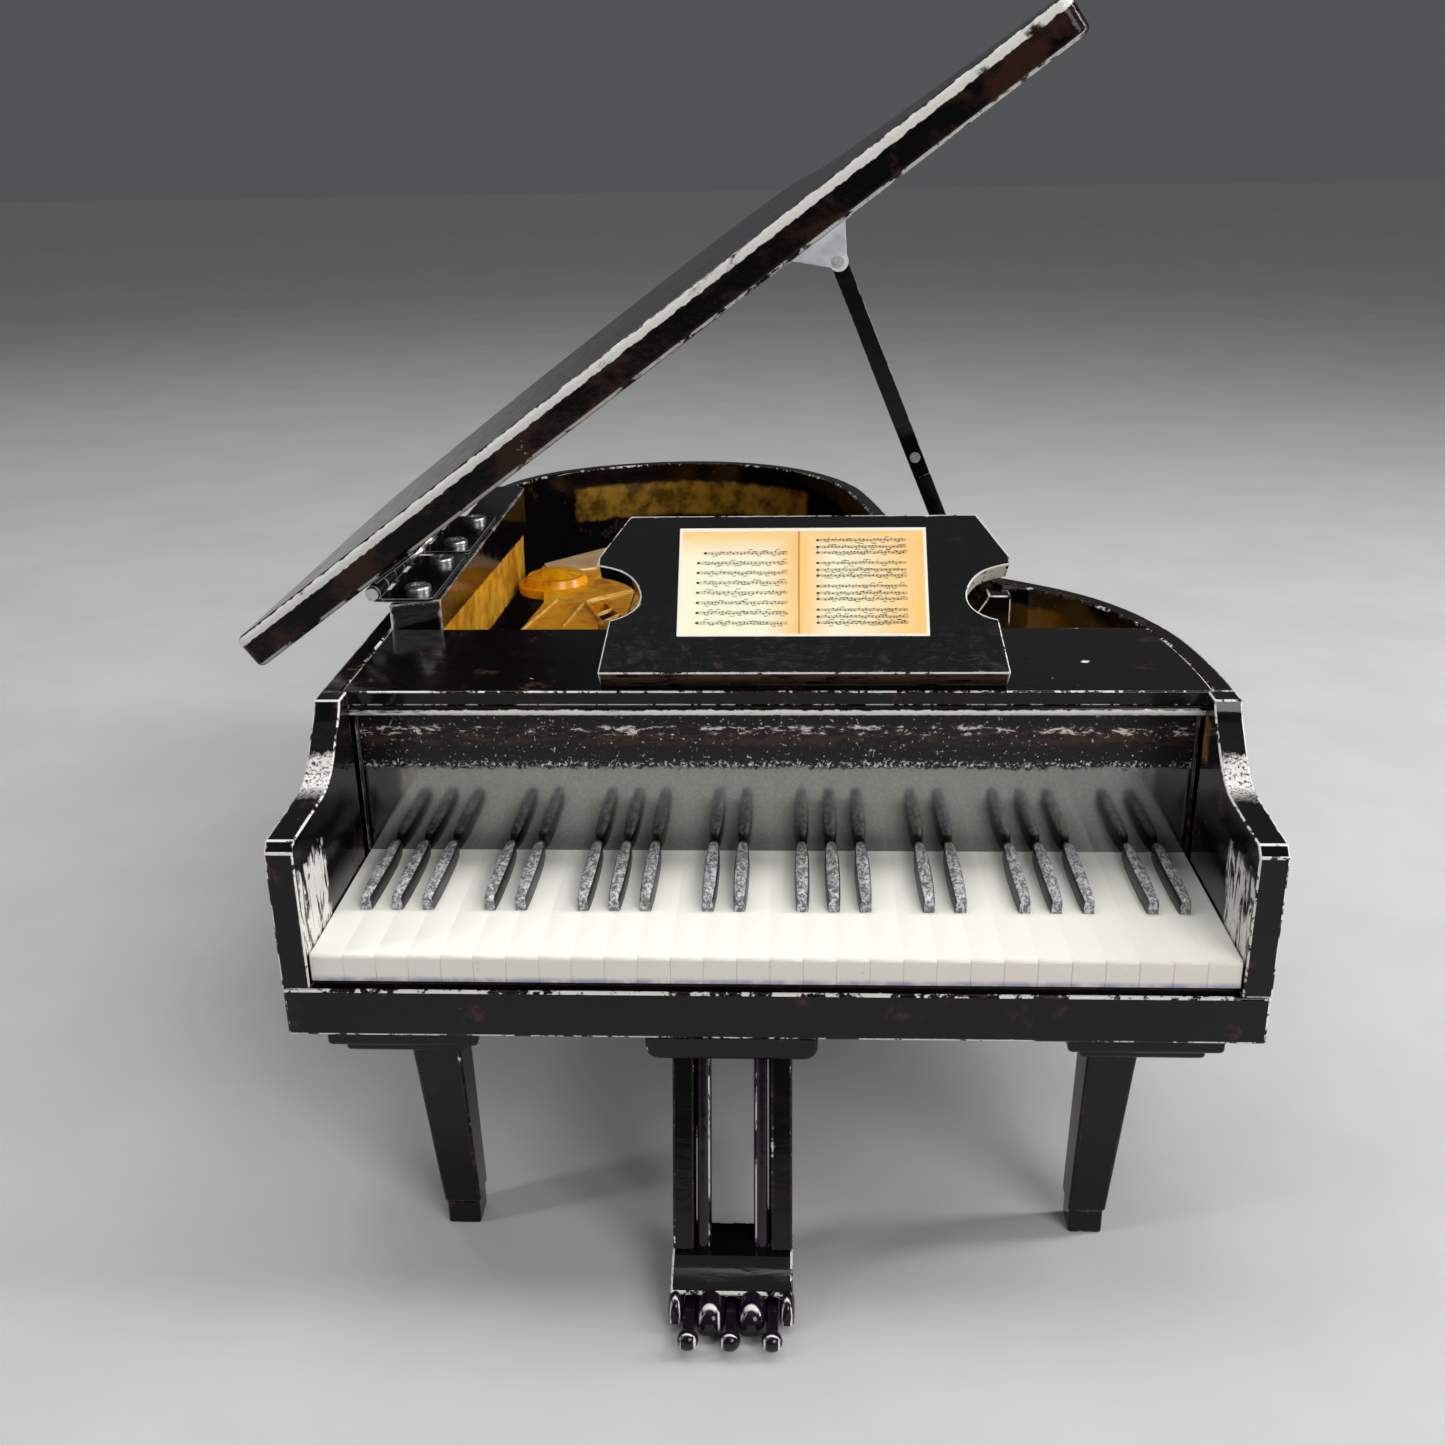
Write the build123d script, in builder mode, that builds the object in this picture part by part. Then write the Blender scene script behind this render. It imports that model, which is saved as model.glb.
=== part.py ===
from build123d import *
import os
from math import cos, radians, sin, tan

# Miniature grand piano, black lacquered wood, with a hinged lid and a folding lid prop.
# Lengths are in millimetres. In the notes below, x is measured from the case's centreline
# (treble side positive), y from the front of the cheeks towards the tail, z from the floor.
# The origin is on the floor, at the middle of the open piano's bounding box.

os.makedirs("parts", exist_ok=True)

# --- driving dimensions -------------------------------------------------------------------
case_width = 120.0
case_length = 178.0
board = 3.5                     # thickness of the cheeks and of the deck with its moulding
wall_thickness = 2.8
base_bottom = 34.0
base_top = 40.5
rim_top = 69.5
cheek_top = 60.3
centre_x = 10.7                 # case centreline in the frame
front_y = -83.0                 # front of the cheeks in the frame

white_key_count = 28
key_front, key_back = 0.6, 30.1
key_bottom, key_top = 41.5, 45.0
black_key_rise = 2.1

deck_front, deck_back = 27.5, 54.5
deck_thickness = 2.0
soundboard_top = 43.0
plate_bottom, plate_top = 57.5, 59.1

rail_inner_x = -50.2
rail_top = 73.2
rail_outer_x = wall_thickness - case_width / 2
rail_front, rail_end = 54.5, 136.0

hinge_x = -60.0                 # lid hinge axis, parallel to y
leaf_offset = 1.35              # from the axis to the face that a leaf is screwed to
barrel_radius = 1.15
hinge_z = rail_top + leaf_offset
hinge_length = 25.0
hinge_centres = (68.7, 96.3)
leaf_width, leaf_thickness = 9.0, 0.55
hinge_pin_radius = 0.6
screw_offset = 5.8              # from the hinge axis to the screws
case_screw_spacing = 16.5
lid_screw_spacing = 6.6
head_radius, head_height = 2.0, 1.0
shank_radius = 0.95

lid_angle = 35.9                # opening of the lid at rest
lid_thickness = 5.6
lid_front = 54.3
lid_overhang = 21.7             # outside the hinge axis
lid_reach = 125.9               # inside the hinge axis, along the front edge

prop_pivot_u = 82.95            # from the hinge axis, along the lid
prop_pivot_n = -3.94            # from the hinge axis, square to the lid
prop_slope = 67.46              # angle of the prop under the horizontal
prop_width, prop_thickness = 2.5, 1.8
prop_y = 75.1                   # middle of the upper piece
prop_length = 57.3
rivet_distance = 31.6           # from the upper pivot
rivet_radius = 0.45

leg_x, leg_y = 43.4, 9.2        # middle of a front leg's top
rear_leg_x, rear_leg_y = -20.0, 150.0
foot_height = 3.6

lyre_x = -4.8

desk_x = 4.1                    # middle of the music desk
desk_lean = 45.0                # from the vertical
desk_thickness = 3.5


# --- helpers ------------------------------------------------------------------------------
def spot(x, y, z=0.0):
    """A point given in case measurements, in the frame."""
    return (centre_x + x, front_y + y, z)


def flat(x, y):
    """As spot, for a sketch that lies on a horizontal plane."""
    return (centre_x + x, front_y + y)


def block(x, y, z):
    """A rectangular block between the two limits given along each axis."""
    with BuildPart(Plane(origin=spot(x[0], y[0], z[0]))) as made:
        Box(x[1] - x[0], y[1] - y[0], z[1] - z[0], align=(Align.MIN, Align.MIN, Align.MIN))
    return made


def side_plane(x):
    """A vertical plane at x whose sketch axes are y (from the case front) and z."""
    return Plane(origin=spot(x, 0), x_dir=(0, 1, 0), z_dir=(1, 0, 0))


def lid_plane(y=0.0, n=0.0):
    """The open lid's plane through the hinge axis: sketch x runs along the lid, sketch y is y."""
    lean = radians(lid_angle)
    along = (cos(lean), 0, sin(lean))
    square = (-sin(lean), 0, cos(lean))
    x, y_, z = spot(hinge_x, y, hinge_z)
    return Plane(origin=(x + n * square[0], y_, z + n * square[2]), x_dir=along, z_dir=square)


def case_outline(inset=0.0):
    """Plan of the case: straight bass side, round tail and S-shaped treble side."""
    half = case_width / 2
    bends = (
        (58.6, 47.3), (53.6, 63.6), (43.8, 76.2), (37, 81.5), (28.3, 93.5), (20.5, 127), (17, 146),
        (8, 164.8), (-20, case_length),
    )
    with BuildSketch() as plan:
        with BuildLine():
            Polyline(flat(-half, 143), flat(-half, 0), flat(half, 0), flat(half, 28))
            side = TangentArc(flat(half, 28), flat(*bends[0]), tangent=(0, 1))
            for bend in bends[1:]:
                side = TangentArc(side @ 1, flat(*bend), tangent=side % 1)
            TangentArc(flat(-half, 143), flat(-48.1, 168.6), tangent=(0, 1))
            TangentArc(side @ 1, flat(-48.1, 168.6), tangent=side % 1)
        make_face()
        if inset:
            offset(amount=-inset, mode=Mode.REPLACE)
    return plan.sketch


def wall(x, y):
    """The stretch of the case wall that lies between the limits given in plan."""
    with BuildPart() as made:
        with BuildSketch(Plane.XY.offset(base_top)):
            add(case_outline())
            add(case_outline(wall_thickness), mode=Mode.SUBTRACT)
            with Locations(flat((x[0] + x[1]) / 2, (y[0] + y[1]) / 2)):
                Rectangle(x[1] - x[0], y[1] - y[0], mode=Mode.INTERSECT)
        extrude(amount=rim_top - base_top)
    return made


def pan_head_screw(length):
    """A cross-head screw standing in its hole, its seat at z = 0."""
    with BuildPart() as screw:
        Cylinder(head_radius, head_height, align=(Align.CENTER, Align.CENTER, Align.MIN))
        fillet(screw.edges().group_by(Axis.Z)[-1], 0.45)
        Cylinder(shank_radius, length, align=(Align.CENTER, Align.CENTER, Align.MAX))
        with BuildSketch(Plane.XY.offset(head_height)):
            Rectangle(2.3, 0.5)
            Rectangle(0.5, 2.3)
        extrude(amount=-0.6, mode=Mode.SUBTRACT)
    return screw.part


# --- case ---------------------------------------------------------------------------------
with BuildPart() as base_board:
    with BuildSketch(Plane.XY.offset(base_bottom)):
        add(case_outline())
    extrude(amount=base_top - base_bottom)
base_board.part.label = "base_board"
export_step(base_board.part, "parts/base_board.step")


def cheek(x):
    """One cheek: level at the front, then sweeping up to the height of the rim."""
    with BuildPart() as made:
        with BuildSketch(side_plane(x)):
            with BuildLine():
                Polyline((12, cheek_top + 0.3), (1.2, cheek_top))
                Line((1.2, cheek_top), (0, cheek_top - 1.2))
                Polyline((0, cheek_top - 1.2), (0, base_top), (deck_front, base_top))
                Polyline((deck_front, base_top), (deck_front, rim_top), (24.2, rim_top))
                Spline(
                    (24.2, rim_top), (21.4, 65.8), (18.2, 62.6), (12, cheek_top + 0.3),
                    tangents=((-0.35, -1), (-1, -0.03)),
                )
            make_face()
        extrude(amount=board)
    return made


left_cheek = cheek(-case_width / 2)
left_cheek.part.label = "left_cheek"
export_step(left_cheek.part, "parts/left_cheek.step")

right_cheek = cheek(case_width / 2 - board)
right_cheek.part.label = "right_cheek"
export_step(right_cheek.part, "parts/right_cheek.step")

bass_wall = wall((-case_width / 2, 0), (deck_front, 142))
bass_wall.part.label = "bass_wall"
export_step(bass_wall.part, "parts/bass_wall.step")

tail_wall = wall((-case_width / 2, case_width / 2), (142, case_length + 1))
tail_wall.part.label = "tail_wall"
export_step(tail_wall.part, "parts/tail_wall.step")

bentside_wall = wall((0, case_width / 2), (deck_front, 142))
bentside_wall.part.label = "bentside_wall"
export_step(bentside_wall.part, "parts/bentside_wall.step")

inner_half = case_width / 2 - board     # half the clear width between the cheeks
moulding_top = rim_top - deck_thickness
moulding_bottom = rim_top - board


def inside_slab(bottom, thickness, y):
    """A level slab that fills the case between the two limits along y."""
    with BuildPart() as made:
        with BuildSketch(Plane.XY.offset(bottom)):
            add(case_outline(wall_thickness))
            with Locations(flat(0, (y[0] + y[1]) / 2)):
                Rectangle(case_width, y[1] - y[0], mode=Mode.INTERSECT)
        extrude(amount=thickness)
    return made


deck_board = inside_slab(moulding_top, deck_thickness, (deck_front, deck_back))
deck_board.part.label = "deck_board"
export_step(deck_board.part, "parts/deck_board.step")

# A rounded moulding under the deck, its nose just proud of the deck's front edge.
nose_back = deck_front + 0.4
with BuildPart() as deck_moulding:
    with BuildSketch(side_plane(-inner_half)):
        with BuildLine():
            Line((nose_back, moulding_top), (nose_back, moulding_bottom))
            ThreePointArc(
                (nose_back, moulding_bottom), (deck_front - 0.35, (moulding_bottom + moulding_top) / 2),
                (nose_back, moulding_top),
            )
        make_face()
    extrude(amount=2 * inner_half)
    add(inside_slab(moulding_bottom, moulding_top - moulding_bottom, (nose_back, deck_back)).part)
deck_moulding.part.label = "deck_moulding"
export_step(deck_moulding.part, "parts/deck_moulding.step")

fallboard = block((-inner_half, inner_half), (key_back, key_back + 3), (base_top, moulding_bottom))
fallboard.part.label = "fallboard"
export_step(fallboard.part, "parts/fallboard.step")

belly_rail = block((-inner_half, 52.0), (deck_back - 3, deck_back), (base_top, moulding_bottom))
belly_rail.part.label = "belly_rail"
export_step(belly_rail.part, "parts/belly_rail.step")

# --- keyboard -----------------------------------------------------------------------------
block_half = inner_half - 0.2
key_pitch = 2 * block_half / white_key_count

key_rail = block((-block_half, block_half), (1.6, key_back), (base_top, key_bottom))
key_rail.part.label = "key_rail"
export_step(key_rail.part, "parts/key_rail.step")

with BuildPart(Plane(origin=spot(0, key_front, key_bottom))) as white_key_block:
    Box(
        2 * block_half, key_back - key_front, key_top - key_bottom,
        align=(Align.CENTER, Align.MIN, Align.MIN),
    )
    front_edges = white_key_block.edges().filter_by(Axis.X).group_by(Axis.Y)[0]
    fillet(front_edges.sort_by(Axis.Z)[-1:], 0.5)
    with BuildSketch(Plane(origin=spot(0, key_front, key_bottom), x_dir=(1, 0, 0), z_dir=(0, -1, 0))):
        with Locations((0, (key_top - key_bottom) / 2)):
            with GridLocations(key_pitch, 1, white_key_count - 1, 1):
                Rectangle(0.28, key_top - key_bottom + 1)
    extrude(amount=-0.55, mode=Mode.SUBTRACT)
white_key_block.part.label = "white_key_block"
export_step(white_key_block.part, "parts/white_key_block.step")

# The run starts on F: after F, G, A, C and D of each octave comes a black key.
natural_names = "FGABCDE"
black_after = [i for i in range(white_key_count - 1) if natural_names[i % 7] in "FGACD"]
black_width = key_pitch / 2

with BuildPart() as black_keys:
    for i in black_after:
        x = -block_half + (i + 1) * key_pitch
        with BuildSketch(side_plane(x - black_width / 2)):
            Polygon(
                (12.4, key_top), (13.6, key_top + black_key_rise - 0.35),
                (28.4, key_top + black_key_rise), (key_back, key_top + black_key_rise - 0.8),
                (key_back, key_top),
                align=None,
            )
        extrude(amount=black_width)
    chamfer(black_keys.edges().filter_by(GeomType.LINE).filter_by(
        lambda e: e.length > 14.5 and e.center().Z > key_top + 1), 0.35)
black_keys.part.label = "black_keys"
export_step(black_keys.part, "parts/black_keys.step")

# --- inside the case ----------------------------------------------------------------------
soundboard = inside_slab(base_top, soundboard_top - base_top, (deck_back, case_length))
soundboard.part.label = "soundboard"
export_step(soundboard.part, "parts/soundboard.step")

with BuildPart() as hinge_rail:
    with BuildSketch(Plane.XY.offset(soundboard_top)):
        Polygon(
            flat(rail_outer_x, rail_front), flat(rail_inner_x, rail_front + 3),
            flat(rail_inner_x, rail_end), flat(rail_outer_x, rail_end),
            align=None,
        )
    extrude(amount=rail_top - soundboard_top)
    fillet(hinge_rail.edges().filter_by(Axis.Z).group_by(Axis.Y)[-1].sort_by(Axis.X)[-1:], 3)
    with Locations(*[
        spot(hinge_x + screw_offset, centre + side * case_screw_spacing / 2, rail_top)
        for centre in hinge_centres for side in (-1, 1)
    ]):
        Cylinder(shank_radius, 7, align=(Align.CENTER, Align.CENTER, Align.MAX), mode=Mode.SUBTRACT)
hinge_rail.part.label = "hinge_rail"
export_step(hinge_rail.part, "parts/hinge_rail.step")

post_spots = ((-41, 117), (-40, 63), (40, 61), (17, 106), (-10, 158), (9, 143))
with BuildPart() as plate_posts:
    with Locations(*[spot(x, y, soundboard_top) for x, y in post_spots]):
        Cylinder(2, plate_bottom - soundboard_top, align=(Align.CENTER, Align.CENTER, Align.MIN))
plate_posts.part.label = "plate_posts"
export_step(plate_posts.part, "parts/plate_posts.step")

prop_slot = (-37.5, 30.0, 72.4, 79.6)    # x and y limits of the slot that the prop folds through
window_shapes = (
    ((-33.3, 100), (-31.3, 102.5), (-26.2, 92), (-28.8, 86.6)),
    ((-20.5, 87), (-8.5, 87), (-8.5, 118), (-19.5, 112)),
    ((-4.5, 87), (7.5, 87), (7.5, 112), (-4.5, 119)),
    ((11.5, 87), (20, 87), (14.5, 101), (11.5, 104)),
    ((-35, 118), (-23.5, 121), (-23.5, 145), (-31, 136)),
    ((-19.5, 124), (-8.5, 127), (-8.5, 152), (-19.5, 149)),
    ((-4.5, 127), (6.5, 120), (7.5, 139), (-4.5, 150)),
)
lobe_x, lobe_y, lobe_radius = -42.1, 116.5, 7.0
with BuildPart() as iron_plate:
    with BuildSketch(Plane.XY.offset(plate_bottom)):
        add(case_outline(wall_thickness + 0.3))
        Polygon(
            flat(-44.4, deck_back + 0.3), flat(60, deck_back + 0.3), flat(60, 100), flat(20, 112),
            flat(14, 148), flat(-8, 164), flat(-24, 155), flat(-35, 141.5), flat(-46.5, 127.5),
            flat(-42.4, 103), flat(-44.4, 80),
            align=None, mode=Mode.INTERSECT,
        )
        with Locations(flat(lobe_x, lobe_y)):
            Circle(lobe_radius)
        with Locations(flat((prop_slot[0] + prop_slot[1]) / 2, (prop_slot[2] + prop_slot[3]) / 2)):
            Rectangle(prop_slot[1] - prop_slot[0], prop_slot[3] - prop_slot[2], mode=Mode.SUBTRACT)
        for corners in window_shapes:
            Polygon(*[flat(x, y) for x, y in corners], align=None, mode=Mode.SUBTRACT)
    extrude(amount=plate_top - plate_bottom)
    # raised struts between the windows, and a raised boss on the lobe
    for x, y_end in ((-22.0, 148), (-6.5, 154), (9.5, 140)):
        with BuildSketch(Plane.XY.offset(plate_top)):
            with Locations(flat(x, (84.5 + y_end) / 2)):
                Rectangle(1.8, y_end - 84.5)
        extrude(amount=1.6, taper=12)
    with BuildSketch(Plane.XY.offset(plate_top)):
        with Locations(flat(lobe_x, lobe_y)):
            Circle(lobe_radius - 1)
    extrude(amount=1.4, taper=25)
iron_plate.part.label = "iron_plate"
export_step(iron_plate.part, "parts/iron_plate.step")

string_bar = block((-30, 21), (82.0, 84.0), (plate_top, plate_top + 2.6))
string_bar.part.label = "string_bar"
export_step(string_bar.part, "parts/string_bar.step")

string_height = plate_top + 2.2
string_pitch, string_count = 2.6, 17
with BuildPart() as strings:
    for i in range(string_count):
        x = -25.5 + i * string_pitch
        length = 66 - 0.03 * (x + 14) ** 2
        with Locations(Location(spot(x, 84, string_height), (-90, 0, 0))):
            Cylinder(0.16, length, align=(Align.CENTER, Align.CENTER, Align.MIN))
strings.part.label = "strings"
export_step(strings.part, "parts/strings.step")

# --- lid hinges ---------------------------------------------------------------------------
knuckle_count = 5
knuckle_gap = 0.15
knuckle_length = hinge_length / knuckle_count


def hinge_leaf(plane, side, knuckles, bore, screw_spacing):
    """A leaf and its knuckles. side is -1 for a leaf under the axis and +1 for one above it."""
    near, far = side * (leaf_offset - leaf_thickness), side * leaf_offset
    low, high = min(near, far), max(near, far)
    clear = barrel_radius + 0.25
    with BuildPart(plane) as leaf:
        with Locations((clear, 0, low)):
            Box(leaf_width - clear, hinge_length, leaf_thickness, align=(Align.MIN, Align.CENTER, Align.MIN))
        ends = leaf.edges().filter_by(Axis(plane.origin, plane.z_dir))
        fillet(ends.sort_by(Axis(plane.origin, plane.x_dir))[-2:], 1.2)
        for i in knuckles:
            y = (i + 0.5) * knuckle_length - hinge_length / 2
            with Locations((0, y, low)):
                Box(
                    clear + 0.2, knuckle_length - 2 * knuckle_gap, high - low,
                    align=(Align.MIN, Align.CENTER, Align.MIN),
                )
            with Locations(Location((0, y, 0), (90, 0, 0))):
                Cylinder(barrel_radius, knuckle_length - 2 * knuckle_gap)
        with Locations(Location((0, 0, 0), (90, 0, 0))):
            Cylinder(bore, hinge_length, mode=Mode.SUBTRACT)
        with Locations(*[(screw_offset, s * screw_spacing / 2, 0) for s in (-1, 1)]):
            Cylinder(shank_radius + 0.1, 4, mode=Mode.SUBTRACT)
    return leaf


front_hinge_plane = Plane(origin=spot(hinge_x, hinge_centres[0], hinge_z))
rear_hinge_plane = Plane(origin=spot(hinge_x, hinge_centres[1], hinge_z))

front_hinge_case_leaf = hinge_leaf(front_hinge_plane, -1, (0, 2, 4), hinge_pin_radius, case_screw_spacing)
front_hinge_case_leaf.part.label = "front_hinge_case_leaf"
export_step(front_hinge_case_leaf.part, "parts/front_hinge_case_leaf.step")

rear_hinge_case_leaf = hinge_leaf(rear_hinge_plane, -1, (0, 2, 4), hinge_pin_radius, case_screw_spacing)
rear_hinge_case_leaf.part.label = "rear_hinge_case_leaf"
export_step(rear_hinge_case_leaf.part, "parts/rear_hinge_case_leaf.step")

front_hinge_lid_leaf = hinge_leaf(
    lid_plane(hinge_centres[0]), 1, (1, 3), hinge_pin_radius + 0.05, lid_screw_spacing)
front_hinge_lid_leaf.part.label = "front_hinge_lid_leaf"
export_step(front_hinge_lid_leaf.part, "parts/front_hinge_lid_leaf.step")

rear_hinge_lid_leaf = hinge_leaf(
    lid_plane(hinge_centres[1]), 1, (1, 3), hinge_pin_radius + 0.05, lid_screw_spacing)
rear_hinge_lid_leaf.part.label = "rear_hinge_lid_leaf"
export_step(rear_hinge_lid_leaf.part, "parts/rear_hinge_lid_leaf.step")

with BuildPart() as hinge_pins:
    for centre in hinge_centres:
        with Locations(Location(spot(hinge_x, centre, hinge_z), (90, 0, 0))):
            Cylinder(hinge_pin_radius, hinge_length)
        for side in (-1, 1):
            end = centre + side * (hinge_length / 2 + 0.3)
            with Locations(Location(spot(hinge_x, end, hinge_z), (90, 0, 0))):
                Cylinder(0.95, 0.6)
hinge_pins.part.label = "hinge_pins"
export_step(hinge_pins.part, "parts/hinge_pins.step")

with BuildPart() as case_hinge_screws:
    for centre in hinge_centres:
        for side in (-1, 1):
            y = centre + side * case_screw_spacing / 2
            turn = 25 * side + centre
            with Locations(Location(spot(hinge_x + screw_offset, y, rail_top + leaf_thickness), (0, 0, turn))):
                add(pan_head_screw(7))
case_hinge_screws.part.label = "case_hinge_screws"
export_step(case_hinge_screws.part, "parts/case_hinge_screws.step")

with BuildPart() as lid_hinge_screws:
    for centre in hinge_centres:
        for side in (-1, 1):
            seat = lid_plane(centre + side * lid_screw_spacing / 2, leaf_offset - leaf_thickness)
            origin = seat.origin + seat.x_dir * screw_offset
            with Locations(Plane(origin=origin, x_dir=seat.x_dir, z_dir=-seat.z_dir)):
                add(pan_head_screw(4.6))
lid_hinge_screws.part.label = "lid_hinge_screws"
export_step(lid_hinge_screws.part, "parts/lid_hinge_screws.step")

# --- lid ----------------------------------------------------------------------------------
with BuildPart() as lid:
    with BuildSketch(lid_plane(n=leaf_offset)):
        with BuildLine():
            Polyline((-lid_overhang, 132), (-lid_overhang, lid_front), (lid_reach, lid_front), (lid_reach, 58))
            Spline(
                (lid_reach, 58), (117, 71), (104, 87.5), (92, 109), (86, 140), (78, 164), (60.5, 179.5),
                (37.4, 184), (12, 179.5), (-8, 164.5), (-lid_overhang, 132),
                tangents=((0, 1), (0, -1)),
            )
        make_face()
    extrude(amount=lid_thickness)
    through = Axis(lid_plane().origin, lid_plane().z_dir)
    fillet(lid.edges().filter_by(through).group_by(Axis.Y)[0], 2.2)
    broad_faces = lid.faces().filter_by(GeomType.PLANE).filter_by(through)
    fillet(broad_faces.edges(), 1.0)
    for centre in hinge_centres:
        for side in (-1, 1):
            seat = lid_plane(centre + side * lid_screw_spacing / 2, leaf_offset)
            with Locations(Plane(origin=seat.origin + seat.x_dir * screw_offset, z_dir=seat.z_dir)):
                Cylinder(
                    shank_radius, 4.6 - leaf_thickness,
                    align=(Align.CENTER, Align.CENTER, Align.MIN), mode=Mode.SUBTRACT,
                )
lid.part.label = "lid"
export_step(lid.part, "parts/lid.step")

# --- lid prop -----------------------------------------------------------------------------
pin_radius = 0.5
cheek_gap = 0.15
cheek_thickness = 0.9
clip_seat = leaf_offset         # the lid's underside, square to the lid

with BuildPart() as prop_clip:
    with BuildSketch(lid_plane(prop_y, clip_seat)):
        with Locations((prop_pivot_u - 0.6, 0)):
            RectangleRounded(12.4, 6.4, 1.6)
    extrude(amount=-1.1, taper=8)
    for side in (-1, 1):
        near = prop_thickness / 2 + cheek_gap
        middle = prop_y + side * (near + cheek_thickness / 2)
        across = lid_plane(middle)
        upright = Plane(origin=across.origin, x_dir=across.x_dir, z_dir=(0, -1, 0))
        with BuildSketch(upright):
            with BuildLine():
                Polyline(
                    (prop_pivot_u + 1.45, prop_pivot_n), (prop_pivot_u + 4.2, clip_seat - 1.0),
                    (prop_pivot_u - 5.6, clip_seat - 1.0), (prop_pivot_u - 1.45, prop_pivot_n),
                )
                ThreePointArc(
                    (prop_pivot_u - 1.45, prop_pivot_n), (prop_pivot_u, prop_pivot_n - 1.45),
                    (prop_pivot_u + 1.45, prop_pivot_n),
                )
            make_face()
            with Locations((prop_pivot_u, prop_pivot_n)):
                Circle(pin_radius, mode=Mode.SUBTRACT)
        extrude(amount=cheek_thickness / 2, both=True)
prop_clip.part.label = "prop_clip"
export_step(prop_clip.part, "parts/prop_clip.step")

pivot_plane = lid_plane(prop_y, prop_pivot_n)
pivot = pivot_plane.origin + pivot_plane.x_dir * prop_pivot_u
pin_length = prop_thickness + 2 * (cheek_gap + cheek_thickness)

with BuildPart(Plane(origin=pivot, x_dir=(1, 0, 0), z_dir=(0, -1, 0))) as prop_pivot_pin:
    Cylinder(pin_radius, pin_length)
    for side in (-1, 1):
        with Locations((0, 0, side * (pin_length / 2 + 0.15))):
            Cylinder(0.85, 0.3)
prop_pivot_pin.part.label = "prop_pivot_pin"
export_step(prop_pivot_pin.part, "parts/prop_pivot_pin.step")

# The prop's own plane: sketch x runs down the prop from its upper pivot, sketch y is square to it.
down = Vector(cos(radians(prop_slope)), 0, -sin(radians(prop_slope)))
lap = 3.2                       # half the lapped length about the rivet
lower_y = prop_y + prop_thickness


def prop_plane(y):
    """The prop's plane at the given distance from the case front."""
    return Plane(origin=(pivot.X, front_y + y, pivot.Z), x_dir=down, z_dir=(0, -1, 0))


with BuildPart() as prop_rod:
    with BuildSketch(prop_plane(prop_y)):
        with Locations(((rivet_distance + lap) / 2, 0)):
            Rectangle(rivet_distance + lap, prop_width)
        Circle(prop_width / 2)
        with Locations((0, 0)):
            Circle(pin_radius + 0.05, mode=Mode.SUBTRACT)
        with Locations((rivet_distance, 0)):
            Circle(rivet_radius, mode=Mode.SUBTRACT)
    extrude(amount=prop_thickness / 2, both=True)
prop_rod.part.label = "prop_rod"
export_step(prop_rod.part, "parts/prop_rod.step")

with BuildPart() as prop_lower_piece:
    with BuildSketch(prop_plane(lower_y)):
        Polygon(
            (rivet_distance - lap, -prop_width / 2), (prop_length - 1.2, -prop_width / 2),
            (prop_length + 0.4, prop_width / 2), (rivet_distance - lap, prop_width / 2),
            align=None,
        )
        with Locations((rivet_distance, 0)):
            Circle(rivet_radius, mode=Mode.SUBTRACT)
    extrude(amount=prop_thickness / 2, both=True)
prop_lower_piece.part.label = "prop_lower_piece"
export_step(prop_lower_piece.part, "parts/prop_lower_piece.step")

with BuildPart() as prop_rivet:
    with BuildSketch(prop_plane((prop_y + lower_y) / 2)):
        with Locations((rivet_distance, 0)):
            Circle(rivet_radius)
    extrude(amount=prop_thickness, both=True)
    for y, grow in ((prop_y - prop_thickness / 2, 1), (lower_y + prop_thickness / 2, -1)):
        with BuildSketch(prop_plane(y)):
            with Locations((rivet_distance, 0)):
                Circle(0.8)
        extrude(amount=0.3 * grow)
prop_rivet.part.label = "prop_rivet"
export_step(prop_rivet.part, "parts/prop_rivet.step")

# A wedge glued to the inside of the treble wall; the prop's foot leans on its steep face.
foot_x = prop_pivot_u * cos(radians(lid_angle)) - prop_pivot_n * sin(radians(lid_angle))
foot_x += hinge_x + prop_length * cos(radians(prop_slope))
foot_z = pivot.Z - prop_length * sin(radians(prop_slope))
with BuildPart() as prop_seat:
    with BuildSketch(Plane(origin=spot(0, 74), x_dir=(1, 0, 0), z_dir=(0, -1, 0))):
        Polygon(
            (foot_x - 3.2, foot_z - 7.5), (foot_x + 6, foot_z - 7.5),
            (foot_x + 6, foot_z + 1.5), (foot_x + 2.6, foot_z + 1.5),
            align=None,
        )
    extrude(amount=-4.4)
    with BuildSketch(Plane.XY.offset(base_top)):
        add(case_outline(wall_thickness))
    extrude(amount=rim_top, mode=Mode.INTERSECT)
prop_seat.part.label = "prop_seat"
export_step(prop_seat.part, "parts/prop_seat.step")

# --- music desk ---------------------------------------------------------------------------
lean = radians(desk_lean)
desk_up = Vector(0, sin(lean), cos(lean))
desk_face = Vector(0, -cos(lean), sin(lean))
desk_foot = spot(desk_x, deck_front, rim_top + desk_thickness * sin(lean))
desk_plane = Plane(origin=desk_foot, x_dir=(1, 0, 0), z_dir=desk_face)

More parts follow.
